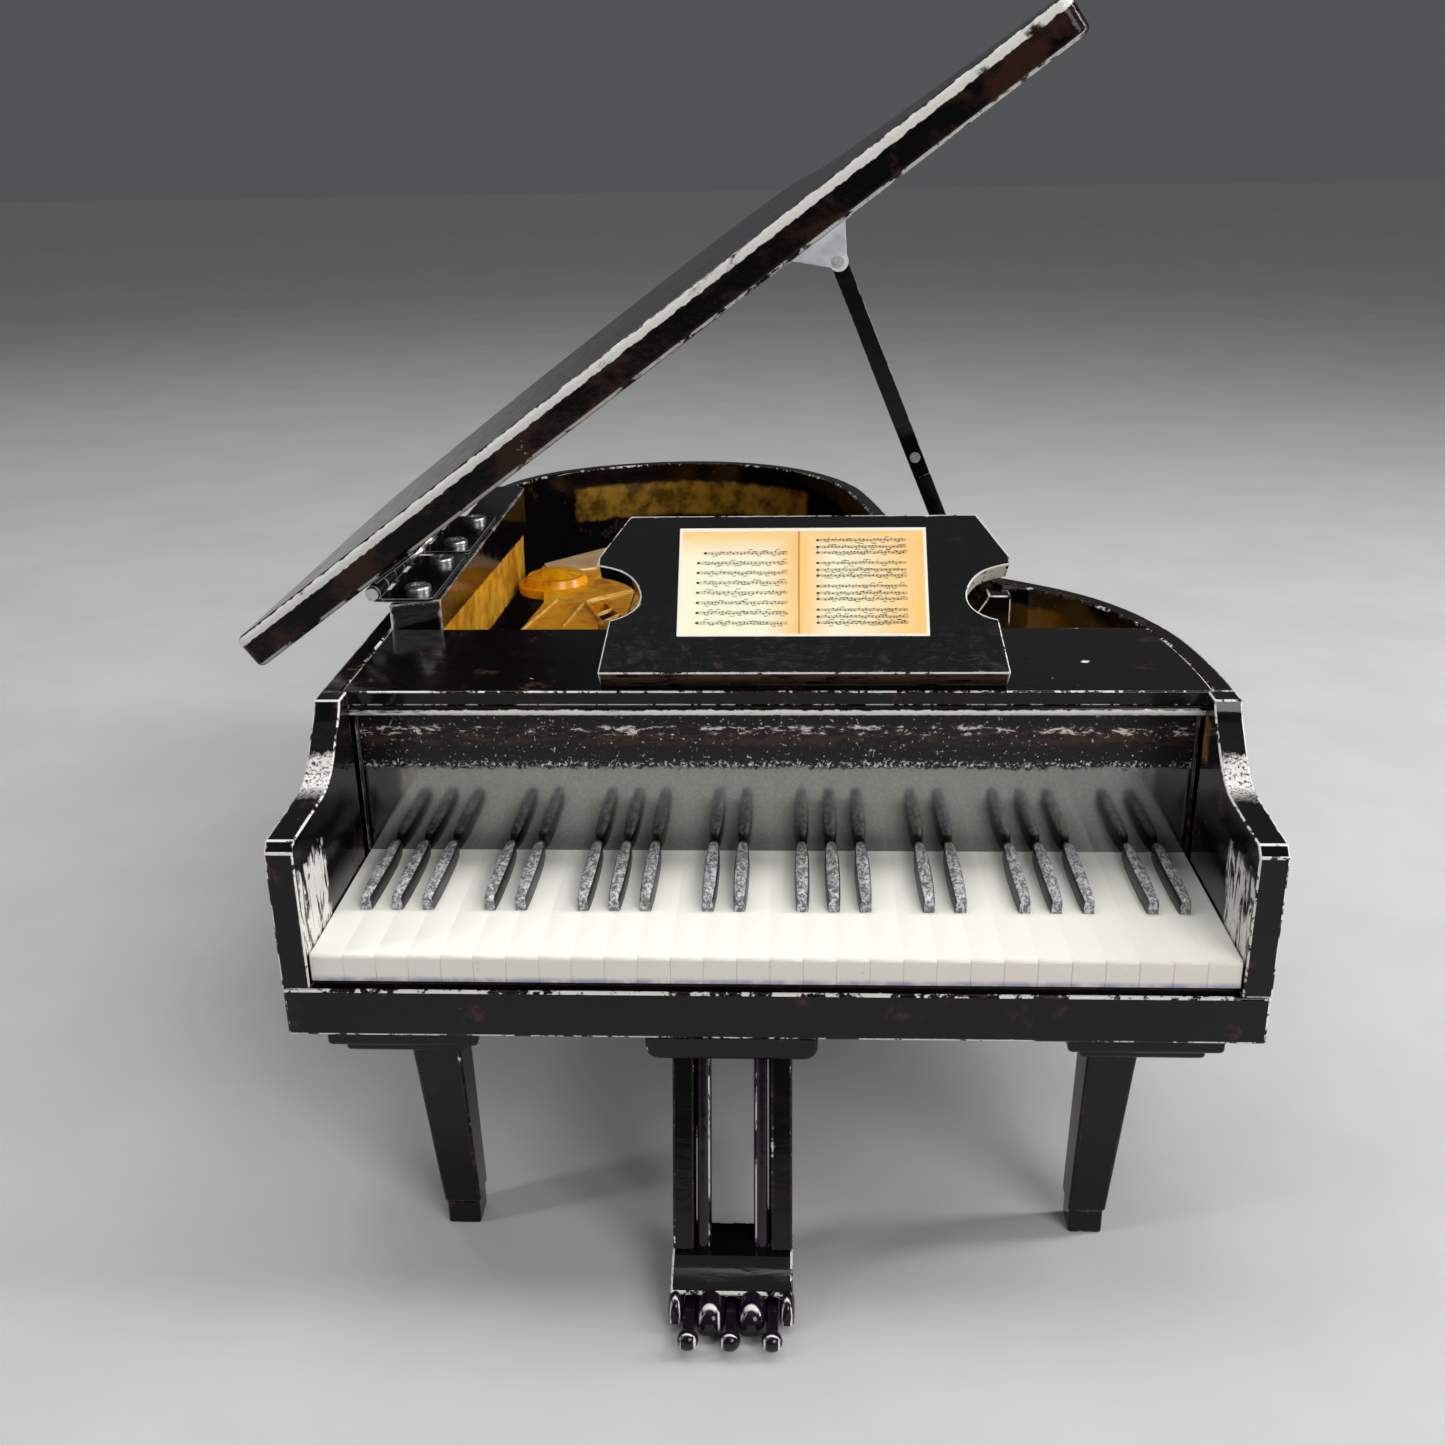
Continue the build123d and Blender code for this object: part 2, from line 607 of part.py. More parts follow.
with BuildPart() as music_desk:
    with BuildSketch(desk_plane):
        for mirror_x in (1, -1):
            with BuildLine():
                Polyline((0, 24.0), (mirror_x * 23.6, 24.0), (mirror_x * 27.7, 17.5), (mirror_x * 27.7, 16.2))
                Spline(
                    (mirror_x * 27.7, 16.2), (mirror_x * 23.2, 14.4), (mirror_x * 21.9, 12.2), (mirror_x * 25.8, 7.9),
                    tangents=((-mirror_x, -0.2), (mirror_x, -0.25)),
                )
                Polyline((mirror_x * 25.8, 7.9), (mirror_x * 27.0, 0), (0, 0), (0, 24.0))
            make_face()
    extrude(amount=-desk_thickness)
music_desk.part.label = "music_desk"
export_step(music_desk.part, "parts/music_desk.step")

sheet_width, sheet_height, sheet_thickness = 33.4, 16.5, 0.15
sheet_bottom = 5.4              # up the desk from its lower edge
with BuildPart() as sheet_music:
    with BuildSketch(desk_plane):
        with Locations((0, sheet_bottom + sheet_height / 2)):
            Rectangle(sheet_width, sheet_height)
    extrude(amount=sheet_thickness)
sheet_music.part.label = "sheet_music"
export_step(sheet_music.part, "parts/sheet_music.step")

back_foot_y = deck_front + desk_thickness * cos(lean)
wedge_run = 12.0
with BuildPart() as desk_wedges:
    for x in (-14.0, 19.5):
        with BuildSketch(side_plane(x)):
            Polygon(
                (back_foot_y, rim_top), (back_foot_y + wedge_run, rim_top),
                (back_foot_y + wedge_run, rim_top + wedge_run / tan(lean)),
                align=None,
            )
        extrude(amount=2.6)
desk_wedges.part.label = "desk_wedges"
export_step(desk_wedges.part, "parts/desk_wedges.step")

# --- legs ---------------------------------------------------------------------------------
plate_thickness, step_thickness = 2.4, 1.7
leg_top = base_bottom - plate_thickness - step_thickness


def rounded_plate(x, y, size_x, size_y, top, thickness):
    """A bracket plate with rounded lower edges."""
    with BuildPart(Plane(origin=spot(x, y, top))) as made:
        Box(size_x, size_y, thickness, align=(Align.CENTER, Align.CENTER, Align.MAX))
        fillet(made.edges().group_by(Axis.Z)[0], 0.7)
    return made


def tapered_leg(x, y, inward):
    """A square leg that narrows towards the floor; inward shifts its lower end."""
    with BuildPart() as made:
        with BuildSketch(Plane(origin=spot(x, y, leg_top))):
            Rectangle(6.4, 6.4)
        with BuildSketch(Plane(origin=spot(x + inward, y - 0.4, foot_height))):
            Rectangle(4.9, 4.9)
        loft()
    return made


def foot(x, y):
    """The small stepped block at the end of a leg."""
    with BuildPart(Plane(origin=spot(x, y - 0.4, 0))) as made:
        Box(4.4, 4.4, foot_height, align=(Align.CENTER, Align.CENTER, Align.MIN))
        fillet(made.edges().filter_by(Axis.Z), 0.4)
    return made


bracket_shift = 2.7             # the brackets reach further out than the legs
leg_places = {
    "front_left": (-leg_x, leg_y, 1.6, -leg_x - bracket_shift),
    "front_right": (leg_x, leg_y, -1.6, leg_x + bracket_shift),
    "rear": (rear_leg_x, rear_leg_y, 0.0, rear_leg_x),
}
for place, (x, y, inward, bracket_x) in leg_places.items():
    bracket = rounded_plate(bracket_x, y, 19.0, 16.0, base_bottom, plate_thickness)
    bracket.part.label = f"{place}_bracket"
    export_step(bracket.part, f"parts/{place}_bracket.step")

    step = rounded_plate(bracket_x, y, 15.4, 13.0, base_bottom - plate_thickness, step_thickness)
    step.part.label = f"{place}_bracket_step"
    export_step(step.part, f"parts/{place}_bracket_step.step")

    leg = tapered_leg(x, y, inward)
    leg.part.label = f"{place}_leg"
    export_step(leg.part, f"parts/{place}_leg.step")

    foot_block = foot(x + inward, y)
    foot_block.part.label = f"{place}_foot"
    export_step(foot_block.part, f"parts/{place}_foot.step")

# --- pedal lyre ---------------------------------------------------------------------------
lyre_plate_bottom = base_bottom - 3.3
box_top = 6.2
lyre_rake = 8.0                 # how far the posts lean forward over their height
post_width, post_depth, rod_radius = 2.7, 3.4, 1.1
post_x, rod_x = 6.2, 3.75       # distances from the lyre's middle
post_top_y, post_bottom_y = 4.4, 4.4 - lyre_rake

with BuildPart(Plane(origin=spot(lyre_x, 6.0, base_bottom))) as lyre_top_plate:
    Box(21.4, 11.0, 3.3, align=(Align.CENTER, Align.CENTER, Align.MAX))
    lower = lyre_top_plate.edges().group_by(Axis.Z)[0]
    fillet(lower.filter_by(Axis.Y), 1.8)
lyre_top_plate.part.label = "lyre_top_plate"
export_step(lyre_top_plate.part, "parts/lyre_top_plate.step")

for side, direction in (("left", -1), ("right", 1)):
    with BuildPart() as post:
        with BuildSketch(side_plane(lyre_x + direction * post_x - post_width / 2)):
            Polygon(
                (post_top_y - post_depth / 2, lyre_plate_bottom), (post_bottom_y - post_depth / 2, box_top),
                (post_bottom_y + post_depth / 2, box_top), (post_top_y + post_depth / 2, lyre_plate_bottom),
                align=None,
            )
        extrude(amount=post_width)
    post.part.label = f"lyre_{side}_post"
    export_step(post.part, f"parts/lyre_{side}_post.step")

    with BuildPart() as rod:
        with BuildSketch(Plane(origin=spot(lyre_x + direction * rod_x, post_bottom_y, box_top))):
            Circle(rod_radius)
        with BuildSketch(Plane(origin=spot(lyre_x + direction * rod_x, post_top_y, lyre_plate_bottom))):
            Circle(rod_radius)
        loft()
    rod.part.label = f"lyre_{side}_rod"
    export_step(rod.part, f"parts/lyre_{side}_rod.step")

box_half = 7.6
pedal_pitch = 5.1
box_bottom = 1.0
with BuildPart() as pedal_box:
    with BuildSketch(side_plane(lyre_x - box_half)):
        Polygon(
            (0.2, box_bottom), (-10.4, box_bottom), (-10.4, 4.0), (-9.2, 5.0),
            (-7.6, 5.3), (-6.2, box_top), (0.2, box_top),
            align=None,
        )
    extrude(amount=2 * box_half)
    with BuildSketch(Plane(origin=spot(lyre_x, -10.4, 0), x_dir=(1, 0, 0), z_dir=(0, -1, 0))):
        with Locations(*[(i * pedal_pitch, 1.9) for i in (-1, 0, 1)]):
            Circle(1.55)
        with Locations(*[(i * pedal_pitch, 0.95) for i in (-1, 0, 1)]):
            Rectangle(3.1, 1.9)
    extrude(amount=-4.0, mode=Mode.SUBTRACT)
pedal_box.part.label = "pedal_box"
export_step(pedal_box.part, "parts/pedal_box.step")

for i, place in enumerate(("left", "middle", "right")):
    with BuildPart(Plane(origin=spot(lyre_x + (i - 1) * pedal_pitch, -6.4, 1.95))) as pedal:
        Box(1.5, 9.8, 1.3, align=(Align.CENTER, Align.MAX, Align.CENTER))
        with Locations((0, -9.6, 0)):
            Sphere(1.3)
        fillet(pedal.edges().filter_by(Axis.Y), 0.3)
    pedal.part.label = f"{place}_pedal"
    export_step(pedal.part, f"parts/{place}_pedal.step")
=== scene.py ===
"""Looks of a miniature grand piano: worn black lacquer and painted details on the CAD frame."""

import math
import random

import bmesh
import bpy
from mathutils import Matrix, Vector


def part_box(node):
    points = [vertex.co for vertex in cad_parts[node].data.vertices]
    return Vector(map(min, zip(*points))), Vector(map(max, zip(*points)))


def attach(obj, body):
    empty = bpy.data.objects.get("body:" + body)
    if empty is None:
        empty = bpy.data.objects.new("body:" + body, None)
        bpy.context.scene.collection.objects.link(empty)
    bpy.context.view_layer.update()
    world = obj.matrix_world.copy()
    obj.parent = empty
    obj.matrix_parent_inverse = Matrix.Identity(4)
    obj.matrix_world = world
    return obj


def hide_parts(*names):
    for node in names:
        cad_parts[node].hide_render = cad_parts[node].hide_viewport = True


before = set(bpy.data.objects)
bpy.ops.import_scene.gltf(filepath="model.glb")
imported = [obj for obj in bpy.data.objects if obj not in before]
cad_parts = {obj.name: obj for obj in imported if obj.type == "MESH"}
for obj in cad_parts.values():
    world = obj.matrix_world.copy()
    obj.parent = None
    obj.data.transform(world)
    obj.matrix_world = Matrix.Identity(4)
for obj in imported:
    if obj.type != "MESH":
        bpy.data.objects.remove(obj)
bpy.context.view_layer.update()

MM = 0.001
base_low, base_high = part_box("base_board")
CENTRE_X = (base_low[0] + base_high[0]) / 2
FRONT_Y = base_low[1]
LID_ANGLE = math.radians(35.9)  # opening of the lid at rest
RIM = "rim"  # a face attribute, 1 on the softened edges


def at(x, y, z):
    """A point in metres, from millimetres off the case's centreline, its front and the floor."""
    return Vector((CENTRE_X + x * MM, FRONT_Y + y * MM, z * MM))


# --- shader helpers -----------------------------------------------------------------------
class Shader:
    """One material, with short ways to add and join its nodes. Its coordinates are millimetres."""

    def __init__(self, name, **settings):
        self.material = bpy.data.materials.new(name)
        self.material.use_nodes = True
        self.tree = self.material.node_tree
        self.tree.nodes.clear()
        output = self.tree.nodes.new("ShaderNodeOutputMaterial")
        self.surface = self.tree.nodes.new("ShaderNodeBsdfPrincipled")
        self.tree.links.new(self.surface.outputs[0], output.inputs["Surface"])
        for socket, value in settings.items():
            self.surface.inputs[socket.replace("_", " ")].default_value = value
        place = self.tree.nodes.new("ShaderNodeTexCoord").outputs["Object"]
        self.place = self.vector("SCALE", place, scale=1 / MM)

    def node(self, kind, inputs=(), **settings):
        """A new node with its settings made and its inputs set or linked."""
        made = self.tree.nodes.new(kind)
        for key, value in settings.items():
            setattr(made, key, value)
        for key, value in dict(inputs).items():
            self.feed(made.inputs[key], value)
        return made

    def feed(self, socket, value):
        """Links value to a socket if it is an output, and sets it otherwise."""
        if isinstance(value, bpy.types.NodeSocket):
            self.tree.links.new(value, socket)
        else:
            socket.default_value = value

    def vector(self, operation, a, b=(0, 0, 0), scale=1.0):
        made = self.node("ShaderNodeVectorMath", {0: a}, operation=operation)
        if operation == "SCALE":
            made.inputs["Scale"].default_value = scale
        else:
            self.feed(made.inputs[1], b)
        return made.outputs["Value" if operation == "DOT_PRODUCT" else "Vector"]

    def math(self, operation, a, b=0.0):
        return self.node("ShaderNodeMath", {0: a, 1: b}, operation=operation, use_clamp=False).outputs[0]

    def step(self, value, low, high):
        """0 below low, 1 above high, smooth between; high may be the smaller one."""
        made = self.node("ShaderNodeMapRange", {"Value": value}, interpolation_type="SMOOTHSTEP")
        low, high, start, end = (low, high, 0.0, 1.0) if low < high else (high, low, 1.0, 0.0)
        made.inputs["From Min"].default_value, made.inputs["From Max"].default_value = low, high
        made.inputs["To Min"].default_value, made.inputs["To Max"].default_value = start, end
        return made.outputs["Result"]

    def noise(self, size, detail=4.0, rough=0.55, stretch=(1, 1, 1), shift=0.0, twist=0.0):
        """Cloudy noise from 0 to 1 whose patches are about size millimetres across."""
        factors = tuple(s / size for s in stretch)
        place = self.vector("MULTIPLY", self.place, factors)
        place = self.vector("ADD", place, (shift, shift * 1.7, shift * 0.6))
        inputs = {"Vector": place, "Scale": 1.0, "Detail": detail, "Roughness": rough, "Distortion": twist}
        return self.node("ShaderNodeTexNoise", inputs).outputs["Fac"]

    def mix(self, factor, a, b):
        made = self.node("ShaderNodeMix", {0: factor, 6: a, 7: b}, data_type="RGBA")
        return made.outputs[2]

    def blend(self, factor, a, b):
        return self.node("ShaderNodeMix", {0: factor, 2: a, 3: b}, data_type="FLOAT").outputs[0]

    def edge(self, radius):
        """0 on a flat face, rising within radius millimetres of an edge to 1 on its softened rim."""
        rounded = self.node("ShaderNodeBevel", {"Radius": radius * MM}, samples=6).outputs[0]
        true = self.node("ShaderNodeNewGeometry").outputs["Normal"]
        bend = self.node("ShaderNodeVectorMath", {0: rounded, 1: true}, operation="DISTANCE").outputs["Value"]
        rim = self.node("ShaderNodeAttribute", attribute_name=RIM).outputs["Fac"]
        return self.math("MAXIMUM", rim, self.math("MULTIPLY", bend, 0.9))

    def axes(self):
        """The place's x, y and z, in millimetres."""
        made = self.node("ShaderNodeSeparateXYZ", {0: self.place})
        return made.outputs[0], made.outputs[1], made.outputs[2]

    def share(self, value, low, high):
        """How far value is from low, 0, to high, 1."""
        inputs = {"Value": value, "From Min": low, "From Max": high}
        return self.node("ShaderNodeMapRange", inputs).outputs[0]

    def band(self, value, low, high, soft):
        """1 between low and high, 0 outside, with borders soft wide to each side."""
        inside = self.step(value, low - soft, low + soft)
        return self.math("MULTIPLY", inside, self.step(value, high + soft, high - soft))

    def bump(self, height, strength, distance):
        """distance is in millimetres."""
        inputs = {"Height": height, "Strength": strength, "Distance": distance * MM}
        self.tree.links.new(self.node("ShaderNodeBump", inputs).outputs[0], self.surface.inputs["Normal"])

    def put(self, **sockets):
        """Feeds the surface's named sockets and gives the finished material."""
        for name, value in sockets.items():
            self.feed(self.surface.inputs[name.replace("_", " ")], value)
        return self.material


BLACK = (0.0030, 0.0026, 0.0032, 1)
BROWN = (0.034, 0.015, 0.010, 1)
PRIMER = (0.72, 0.70, 0.67, 1)


def lacquer(name, chips_and_highlights=0.5, brown=0.4, radius=0.8, seed=0.0, stretch=(1, 1, 1), patches=(),
            peel=0.0, specular=0.3):
    """Hand-brushed gloss black, pale primer at the edges, partly chips and partly painted highlight, and
    rubbed brown in places.

    The first two numbers run from 0, fresh, to 1, badly worn: how much of the edges is pale, as chipped
    primer and as painted highlight, and how much is rubbed brown; radius is the width of the pale edges.
    patches are (mask, colour) pairs that paint areas in another colour, peel is how pimpled the
    lacquer is, and specular its specular level.
    """
    s = Shader(name, IOR=1.5, Specular_IOR_Level=specular)
    near_edge = s.edge(radius)
    fine = s.noise(0.9, 5, 0.65, stretch, seed)
    broad = s.noise(4.5, 3, 0.5, stretch, seed + 3.1)
    brushed = s.noise(1.6, 3, 0.6, (0.25, 1, 1), seed + 7.7, 0.6)
    clouds = s.math("MULTIPLY", s.math("ADD", fine, broad), 0.6)
    level = s.math("ADD", clouds, s.math("MULTIPLY", near_edge, 0.05 + 0.27 * chips_and_highlights))
    # Pale edges in primer colour: partly chips, partly painted highlights along the rims.
    chip_and_highlight = s.step(level, 0.82, 0.86)
    rub_level = s.math("ADD", s.noise(6.0, 4, 0.6, stretch, seed + 5.2), s.math("MULTIPLY", near_edge, 0.2))
    rub = s.step(rub_level, 0.68 - 0.16 * brown, 0.76 - 0.16 * brown)
    rub = s.math("MULTIPLY", rub, s.step(fine, 0.38, 0.58))
    colour = s.mix(rub, BLACK, BROWN)
    for mask, paint in patches:
        colour = s.mix(mask(s), colour, paint(s) if callable(paint) else paint)
    colour = s.mix(chip_and_highlight, colour, PRIMER)
    gloss = s.blend(s.step(brushed, 0.3, 0.7), 0.06, 0.17)
    rough = s.blend(s.math("MAXIMUM", chip_and_highlight, s.math("MULTIPLY", rub, 0.5)), gloss, 0.5)
    relief = s.math("SUBTRACT", s.math("MULTIPLY", brushed, 0.5), s.math("MULTIPLY", chip_and_highlight, 0.8))
    relief = s.math("ADD", relief, s.math("MULTIPLY", s.noise(6, 2, 0.5, shift=seed), 1.1))
    if peel:
        relief = s.math("ADD", relief, s.math("MULTIPLY", s.noise(0.8, 2, 0.5, shift=seed + 9), peel))
    s.bump(relief, 0.35, 0.09)
    return s.put(Base_Color=colour, Roughness=rough)


def gold_paint(s):
    """Olive gold leaf, thinly and unevenly brushed."""
    cloud = s.noise(4.0, 4, 0.6, shift=5.5)
    return s.mix(s.step(cloud, 0.35, 0.65), (0.085, 0.042, 0.006, 1), (0.33, 0.18, 0.022, 1))


def dark_ochre(s):
    """Gold gone dull and brown."""
    return s.mix(s.noise(2.5, 4, 0.6, shift=3.5), (0.020, 0.009, 0.003, 1), (0.15, 0.075, 0.012, 1))


def ragged(s, value, low, high, soft=0.5, size=2.0, amount=1.8, seed=2.0):
    """A band of value whose borders wander like a hand-painted one's."""
    wander = s.math("MULTIPLY", s.math("SUBTRACT", s.noise(size, 4, 0.6, shift=seed), 0.5), amount)
    return s.band(s.math("ADD", value, wander), low, high, soft)


def facing(s, direction, least=0.3):
    """1 where the surface faces the given way."""
    normal = s.node("ShaderNodeNewGeometry").outputs["Normal"]
    return s.step(s.vector("DOT_PRODUCT", normal, direction), least, least + 0.2)


def both(s, *masks):
    """1 where every mask is 1."""
    result = masks[0]
    for mask in masks[1:]:
        result = s.math("MULTIPLY", result, mask)
    return result


CASE_X, CASE_Y = CENTRE_X / MM, FRONT_Y / MM  # the case's centreline and its front, in millimetres
KEYS = 28


def tail_gold(s):
    """Gold on the inside of the tail wall."""
    x, _, z = s.axes()
    across = ragged(s, x, CASE_X - 45, CASE_X + 6, seed=1.2)
    upward = ragged(s, z, 58.2, 65.3, size=3, seed=4.4)
    return both(s, across, upward, facing(s, (0, -1, 0)))


def treble_ochre(s):
    """Dark ochre on the inside of the bentside."""
    x, _, z = s.axes()
    across = ragged(s, x, CASE_X + 33, CASE_X + 45, soft=1.5, seed=6.1)
    upward = ragged(s, z, 59.5, 66.5, seed=8)
    return both(s, across, upward, facing(s, (-0.75, -0.6, 0), 0.4))


def cheek_ochre(s):
    """A smear of gold high on the inside of the treble cheek."""
    x, y, z = s.axes()
    place = both(s, ragged(s, y, CASE_Y + 24.5, CASE_Y + 27.0, amount=1.2), ragged(s, z, 60.5, 66.5, seed=9))
    return both(s, place, s.step(x, CASE_X + 55, CASE_X + 56), facing(s, (-1, 0, 0)))


def cheek_wear(s):
    """The sweeping top of each cheek, worn through to crackled primer."""
    _, y, z = s.axes()
    place = both(s, ragged(s, y, CASE_Y + 12.5, CASE_Y + 19.5, size=1.5, amount=4.0), s.step(z, 60.4, 61.2))
    crackle = s.step(s.noise(0.45, 6, 0.8, shift=3), 0.43, 0.50)
    return both(s, place, crackle, facing(s, (0, -0.6, 0.8), 0.4))


def cheek_inner_wear_and_sheen(s):
    """Pale streaks low on the inner faces of the cheeks, partly bare primer and partly painted reflection."""
    x, y, z = s.axes()
    streaks = s.step(s.noise(1.6, 5, 0.7, (0.2, 1.0, 0.22), 4.0, 1.0), 0.45, 0.49)
    place = both(s, ragged(s, y, CASE_Y + 0.4, CASE_Y + 11, size=2.5, amount=6),
                 ragged(s, z, 44.5, 55.5, 0.8, 1.5, 5.0, 3.3))
    side = s.math("MAXIMUM", facing(s, (1, 0, 0), 0.8), facing(s, (-1, 0, 0), 0.8))
    inside = s.band(x, CASE_X - 57.5, CASE_X + 57.5, 0.1)
    return both(s, place, streaks, side, inside)


def moulding_highlight(s):
    """The moulding's nose, painted with a nearly unbroken pale line in primer colour: a painted highlight."""
    z = s.axes()[2]
    line = ragged(s, z, 66.15, 66.95, 0.08, 1.0, 0.7, 5.0)
    return both(s, line, s.step(s.noise(2.5, 4, 0.6, (0.2, 1, 1), 8), 0.36, 0.44))


def rail_gold(s):
    """Gold brushed along the lower inner face of the hinge rail."""
    _, y, z = s.axes()
    level = s.math("ADD", z, s.math("MULTIPLY", s.math("SUBTRACT", y, CASE_Y + 58), 0.05))
    band = ragged(s, level, 59.4, 68.4, soft=0.25, amount=0.8)
    return both(s, band, ragged(s, y, CASE_Y + 50, CASE_Y + 129), facing(s, (1, 0, 0), 0.7))


def bright_gold(s):
    """Fresh yellow gold."""
    cloud = s.noise(5.0, 3, 0.6, shift=2.2)
    return s.mix(s.step(cloud, 0.3, 0.7), (0.50, 0.20, 0.008, 1), (0.92, 0.50, 0.045, 1))


def ivory():
    """Moulded ivory keys: browner and stained in front, darker and bluer low down, and with faint joints."""
    s = Shader("ivory_keys", IOR=1.46, Subsurface_Weight=0.12, Subsurface_Scale=0.001)
    low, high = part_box("white_key_block")
    s.surface.inputs["Subsurface Radius"].default_value = (1.0, 0.8, 0.6)
    x, y, z = s.axes()
    cloud = s.noise(14, 3, 0.5)
    colour = s.mix(cloud, (0.90, 0.89, 0.82, 1), (0.86, 0.86, 0.80, 1))
    front = s.step(y, CASE_Y + 1.4, CASE_Y + 0.7)
    colour = s.mix(s.math("MULTIPLY", front, 0.75), colour, (0.74, 0.69, 0.62, 1))
    stain = both(s, s.step(s.noise(1.6, 5, 0.7, shift=31), 0.66, 0.78), front)
    colour = s.mix(s.math("MULTIPLY", stain, 0.6), colour, (0.30, 0.17, 0.06, 1))
    pitch = (high[0] - low[0]) / MM / KEYS
    phase = s.math("FRACT", s.math("DIVIDE", s.math("SUBTRACT", x, low[0] / MM), pitch))
    joint = s.math("ABSOLUTE", s.math("SUBTRACT", phase, 0.5))
    seam = s.math("MULTIPLY", s.step(joint, 0.465, 0.495), s.blend(front, 0.02, 0.26))
    colour = s.mix(seam, colour, (0.42, 0.38, 0.33, 1))
    # Darker and bluer along the lowest part of the keys.
    low_blue = both(s, s.step(z, 42.4, 41.6), s.step(s.noise(3, 3, 0.6, shift=8), 0.2, 0.6))
    colour = s.mix(s.math("MULTIPLY", low_blue, 0.8), colour, (0.16, 0.19, 0.40, 1))
    s.bump(s.noise(2.2, 3, 0.5), 0.10, 0.05)
    return s.put(Base_Color=colour, Roughness=s.blend(cloud, 0.26, 0.40))


def black_key_paint():
    """Thick black paint, wrinkled, with its upper faces painted a mottled grey as a painted sheen."""
    s = Shader("black_key_paint", IOR=1.5)
    wrinkle = s.noise(0.75, 4, 0.6, (1.3, 0.8, 1), 2.0, 1.2)
    # Painted sheen: the upper faces are coloured mottled grey, the sides stay black.
    top = facing(s, (0, -0.64, 0.77), 0.45)
    painted_sheen = s.mix(s.step(wrinkle, 0.42, 0.62), (0.13, 0.13, 0.14, 1), (0.60, 0.60, 0.63, 1))
    colour = s.mix(top, (0.012, 0.011, 0.014, 1), painted_sheen)
    s.bump(wrinkle, 0.8, 0.12)
    return s.put(Base_Color=colour, Roughness=s.blend(wrinkle, 0.24, 0.42))


def amber_gold():
    """Thick glossy gold with glowing amber hollows."""
    s = Shader("amber_gold", IOR=1.5, Specular_IOR_Level=0.5)
    facets = s.node("ShaderNodeTexVoronoi", {"Vector": s.place, "Scale": 0.17}, feature="SMOOTH_F1")
    cloud = s.noise(3.2, 5, 0.65, shift=1.5, twist=0.8)
    tone = s.math("ADD", s.math("MULTIPLY", facets.outputs["Distance"], 0.55), s.math("MULTIPLY", cloud, 0.8))
    colour = s.mix(s.step(tone, 0.40, 0.66), (0.62, 0.20, 0.001, 1), (1.0, 0.42, 0.003, 1))
    colour = s.mix(s.step(tone, 0.70, 0.90), colour, (1.0, 0.60, 0.03, 1))
    s.bump(tone, 0.5, 0.5)
    return s.put(Base_Color=colour, Roughness=s.blend(cloud, 0.14, 0.32))


def plain(name, dark, light, size, low, high, relief=0.1, depth=0.05, stretch=(1, 1, 1), seed=0.0,
          **settings):
    """A surface that wanders between two tones, and low and high roughness, with fine relief."""
    s = Shader(name, **settings)
    cloud = s.noise(size, 4, 0.6, stretch, seed)
    s.bump(s.noise(size * 0.3, 3, 0.6, stretch, seed + 2), relief, depth)
    colour = s.mix(s.step(cloud, 0.3, 0.7), dark, light)
    return s.put(Base_Color=colour, Roughness=s.blend(cloud, low, high))


def chipped_hinge():
    """Blackened steel, bare at its edges."""
    s = Shader("black_hinge", Metallic=0.6, IOR=1.5)
    wear = s.math("ADD", s.noise(0.9, 5, 0.7, shift=6), s.math("MULTIPLY", s.edge(0.3), 1.2))
    bare = s.step(wear, 0.78, 0.86)
    colour = s.mix(bare, (0.010, 0.010, 0.011, 1), (0.50, 0.49, 0.47, 1))
    s.bump(wear, 0.3, 0.05)
    return s.put(Base_Color=colour, Roughness=s.blend(bare, 0.22, 0.38))


DESK_SIN = math.sin(math.radians(45))  # the desk leans back 45 degrees


def aged_paper():
    """Cream paper, browned at the spine, along the top and on the right-hand page."""
    s = Shader("aged_paper", Sheen_Weight=0.1)
    low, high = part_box("sheet_music")
    x, _, z = s.axes()
    across = s.share(x, low[0] / MM, high[0] / MM)
    upward = s.share(z, low[2] / MM, high[2] / MM)
    cloud = s.noise(5, 4, 0.6)
    colour = s.mix(cloud, (0.93, 0.88, 0.62, 1), (0.84, 0.84, 0.66, 1))
    from_fold = s.math("ABSOLUTE", s.math("SUBTRACT", across, 0.485))
    spine = s.step(from_fold, 0.16, 0.0)
    age = s.math("MAXIMUM", s.math("MULTIPLY", spine, 0.9), s.step(upward, 0.66, 1.05))
    age = s.math("MAXIMUM", age, s.math("MULTIPLY", s.step(across, 0.55, 1.02), 0.95))
    age = s.math("MULTIPLY", age, s.blend(cloud, 0.7, 1.15))
    colour = s.mix(age, colour, (0.92, 0.50, 0.10, 1))
    fold = s.step(from_fold, 0.006, 0.002)
    colour = s.mix(s.math("MULTIPLY", fold, 0.7), colour, (0.36, 0.15, 0.02, 1))
    border = s.math("MINIMUM", s.band(across, 0.012, 0.988, 0.003), s.band(upward, 0.03, 0.97, 0.006))
    colour = s.mix(border, (0.84, 0.82, 0.72, 1), colour)
    s.bump(s.noise(0.6, 4, 0.6), 0.15, 0.02)
    return s.put(Base_Color=colour, Roughness=s.blend(cloud, 0.55, 0.75))


# --- mesh helpers -------------------------------------------------------------------------
def new_piece(name, mesh, body, material):
    """Puts a mesh in the scene as a piece that rides on a body."""
    piece = bpy.data.objects.new(name, mesh)
    bpy.context.scene.collection.objects.link(piece)
    mesh.materials.clear()
    mesh.materials.append(material)
    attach(piece, body)
    return piece


def repaint(node, material):
    """Gives a CAD node that stays visible its new material."""
    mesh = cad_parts[node].data
    mesh.materials.clear()
    mesh.materials.append(material)


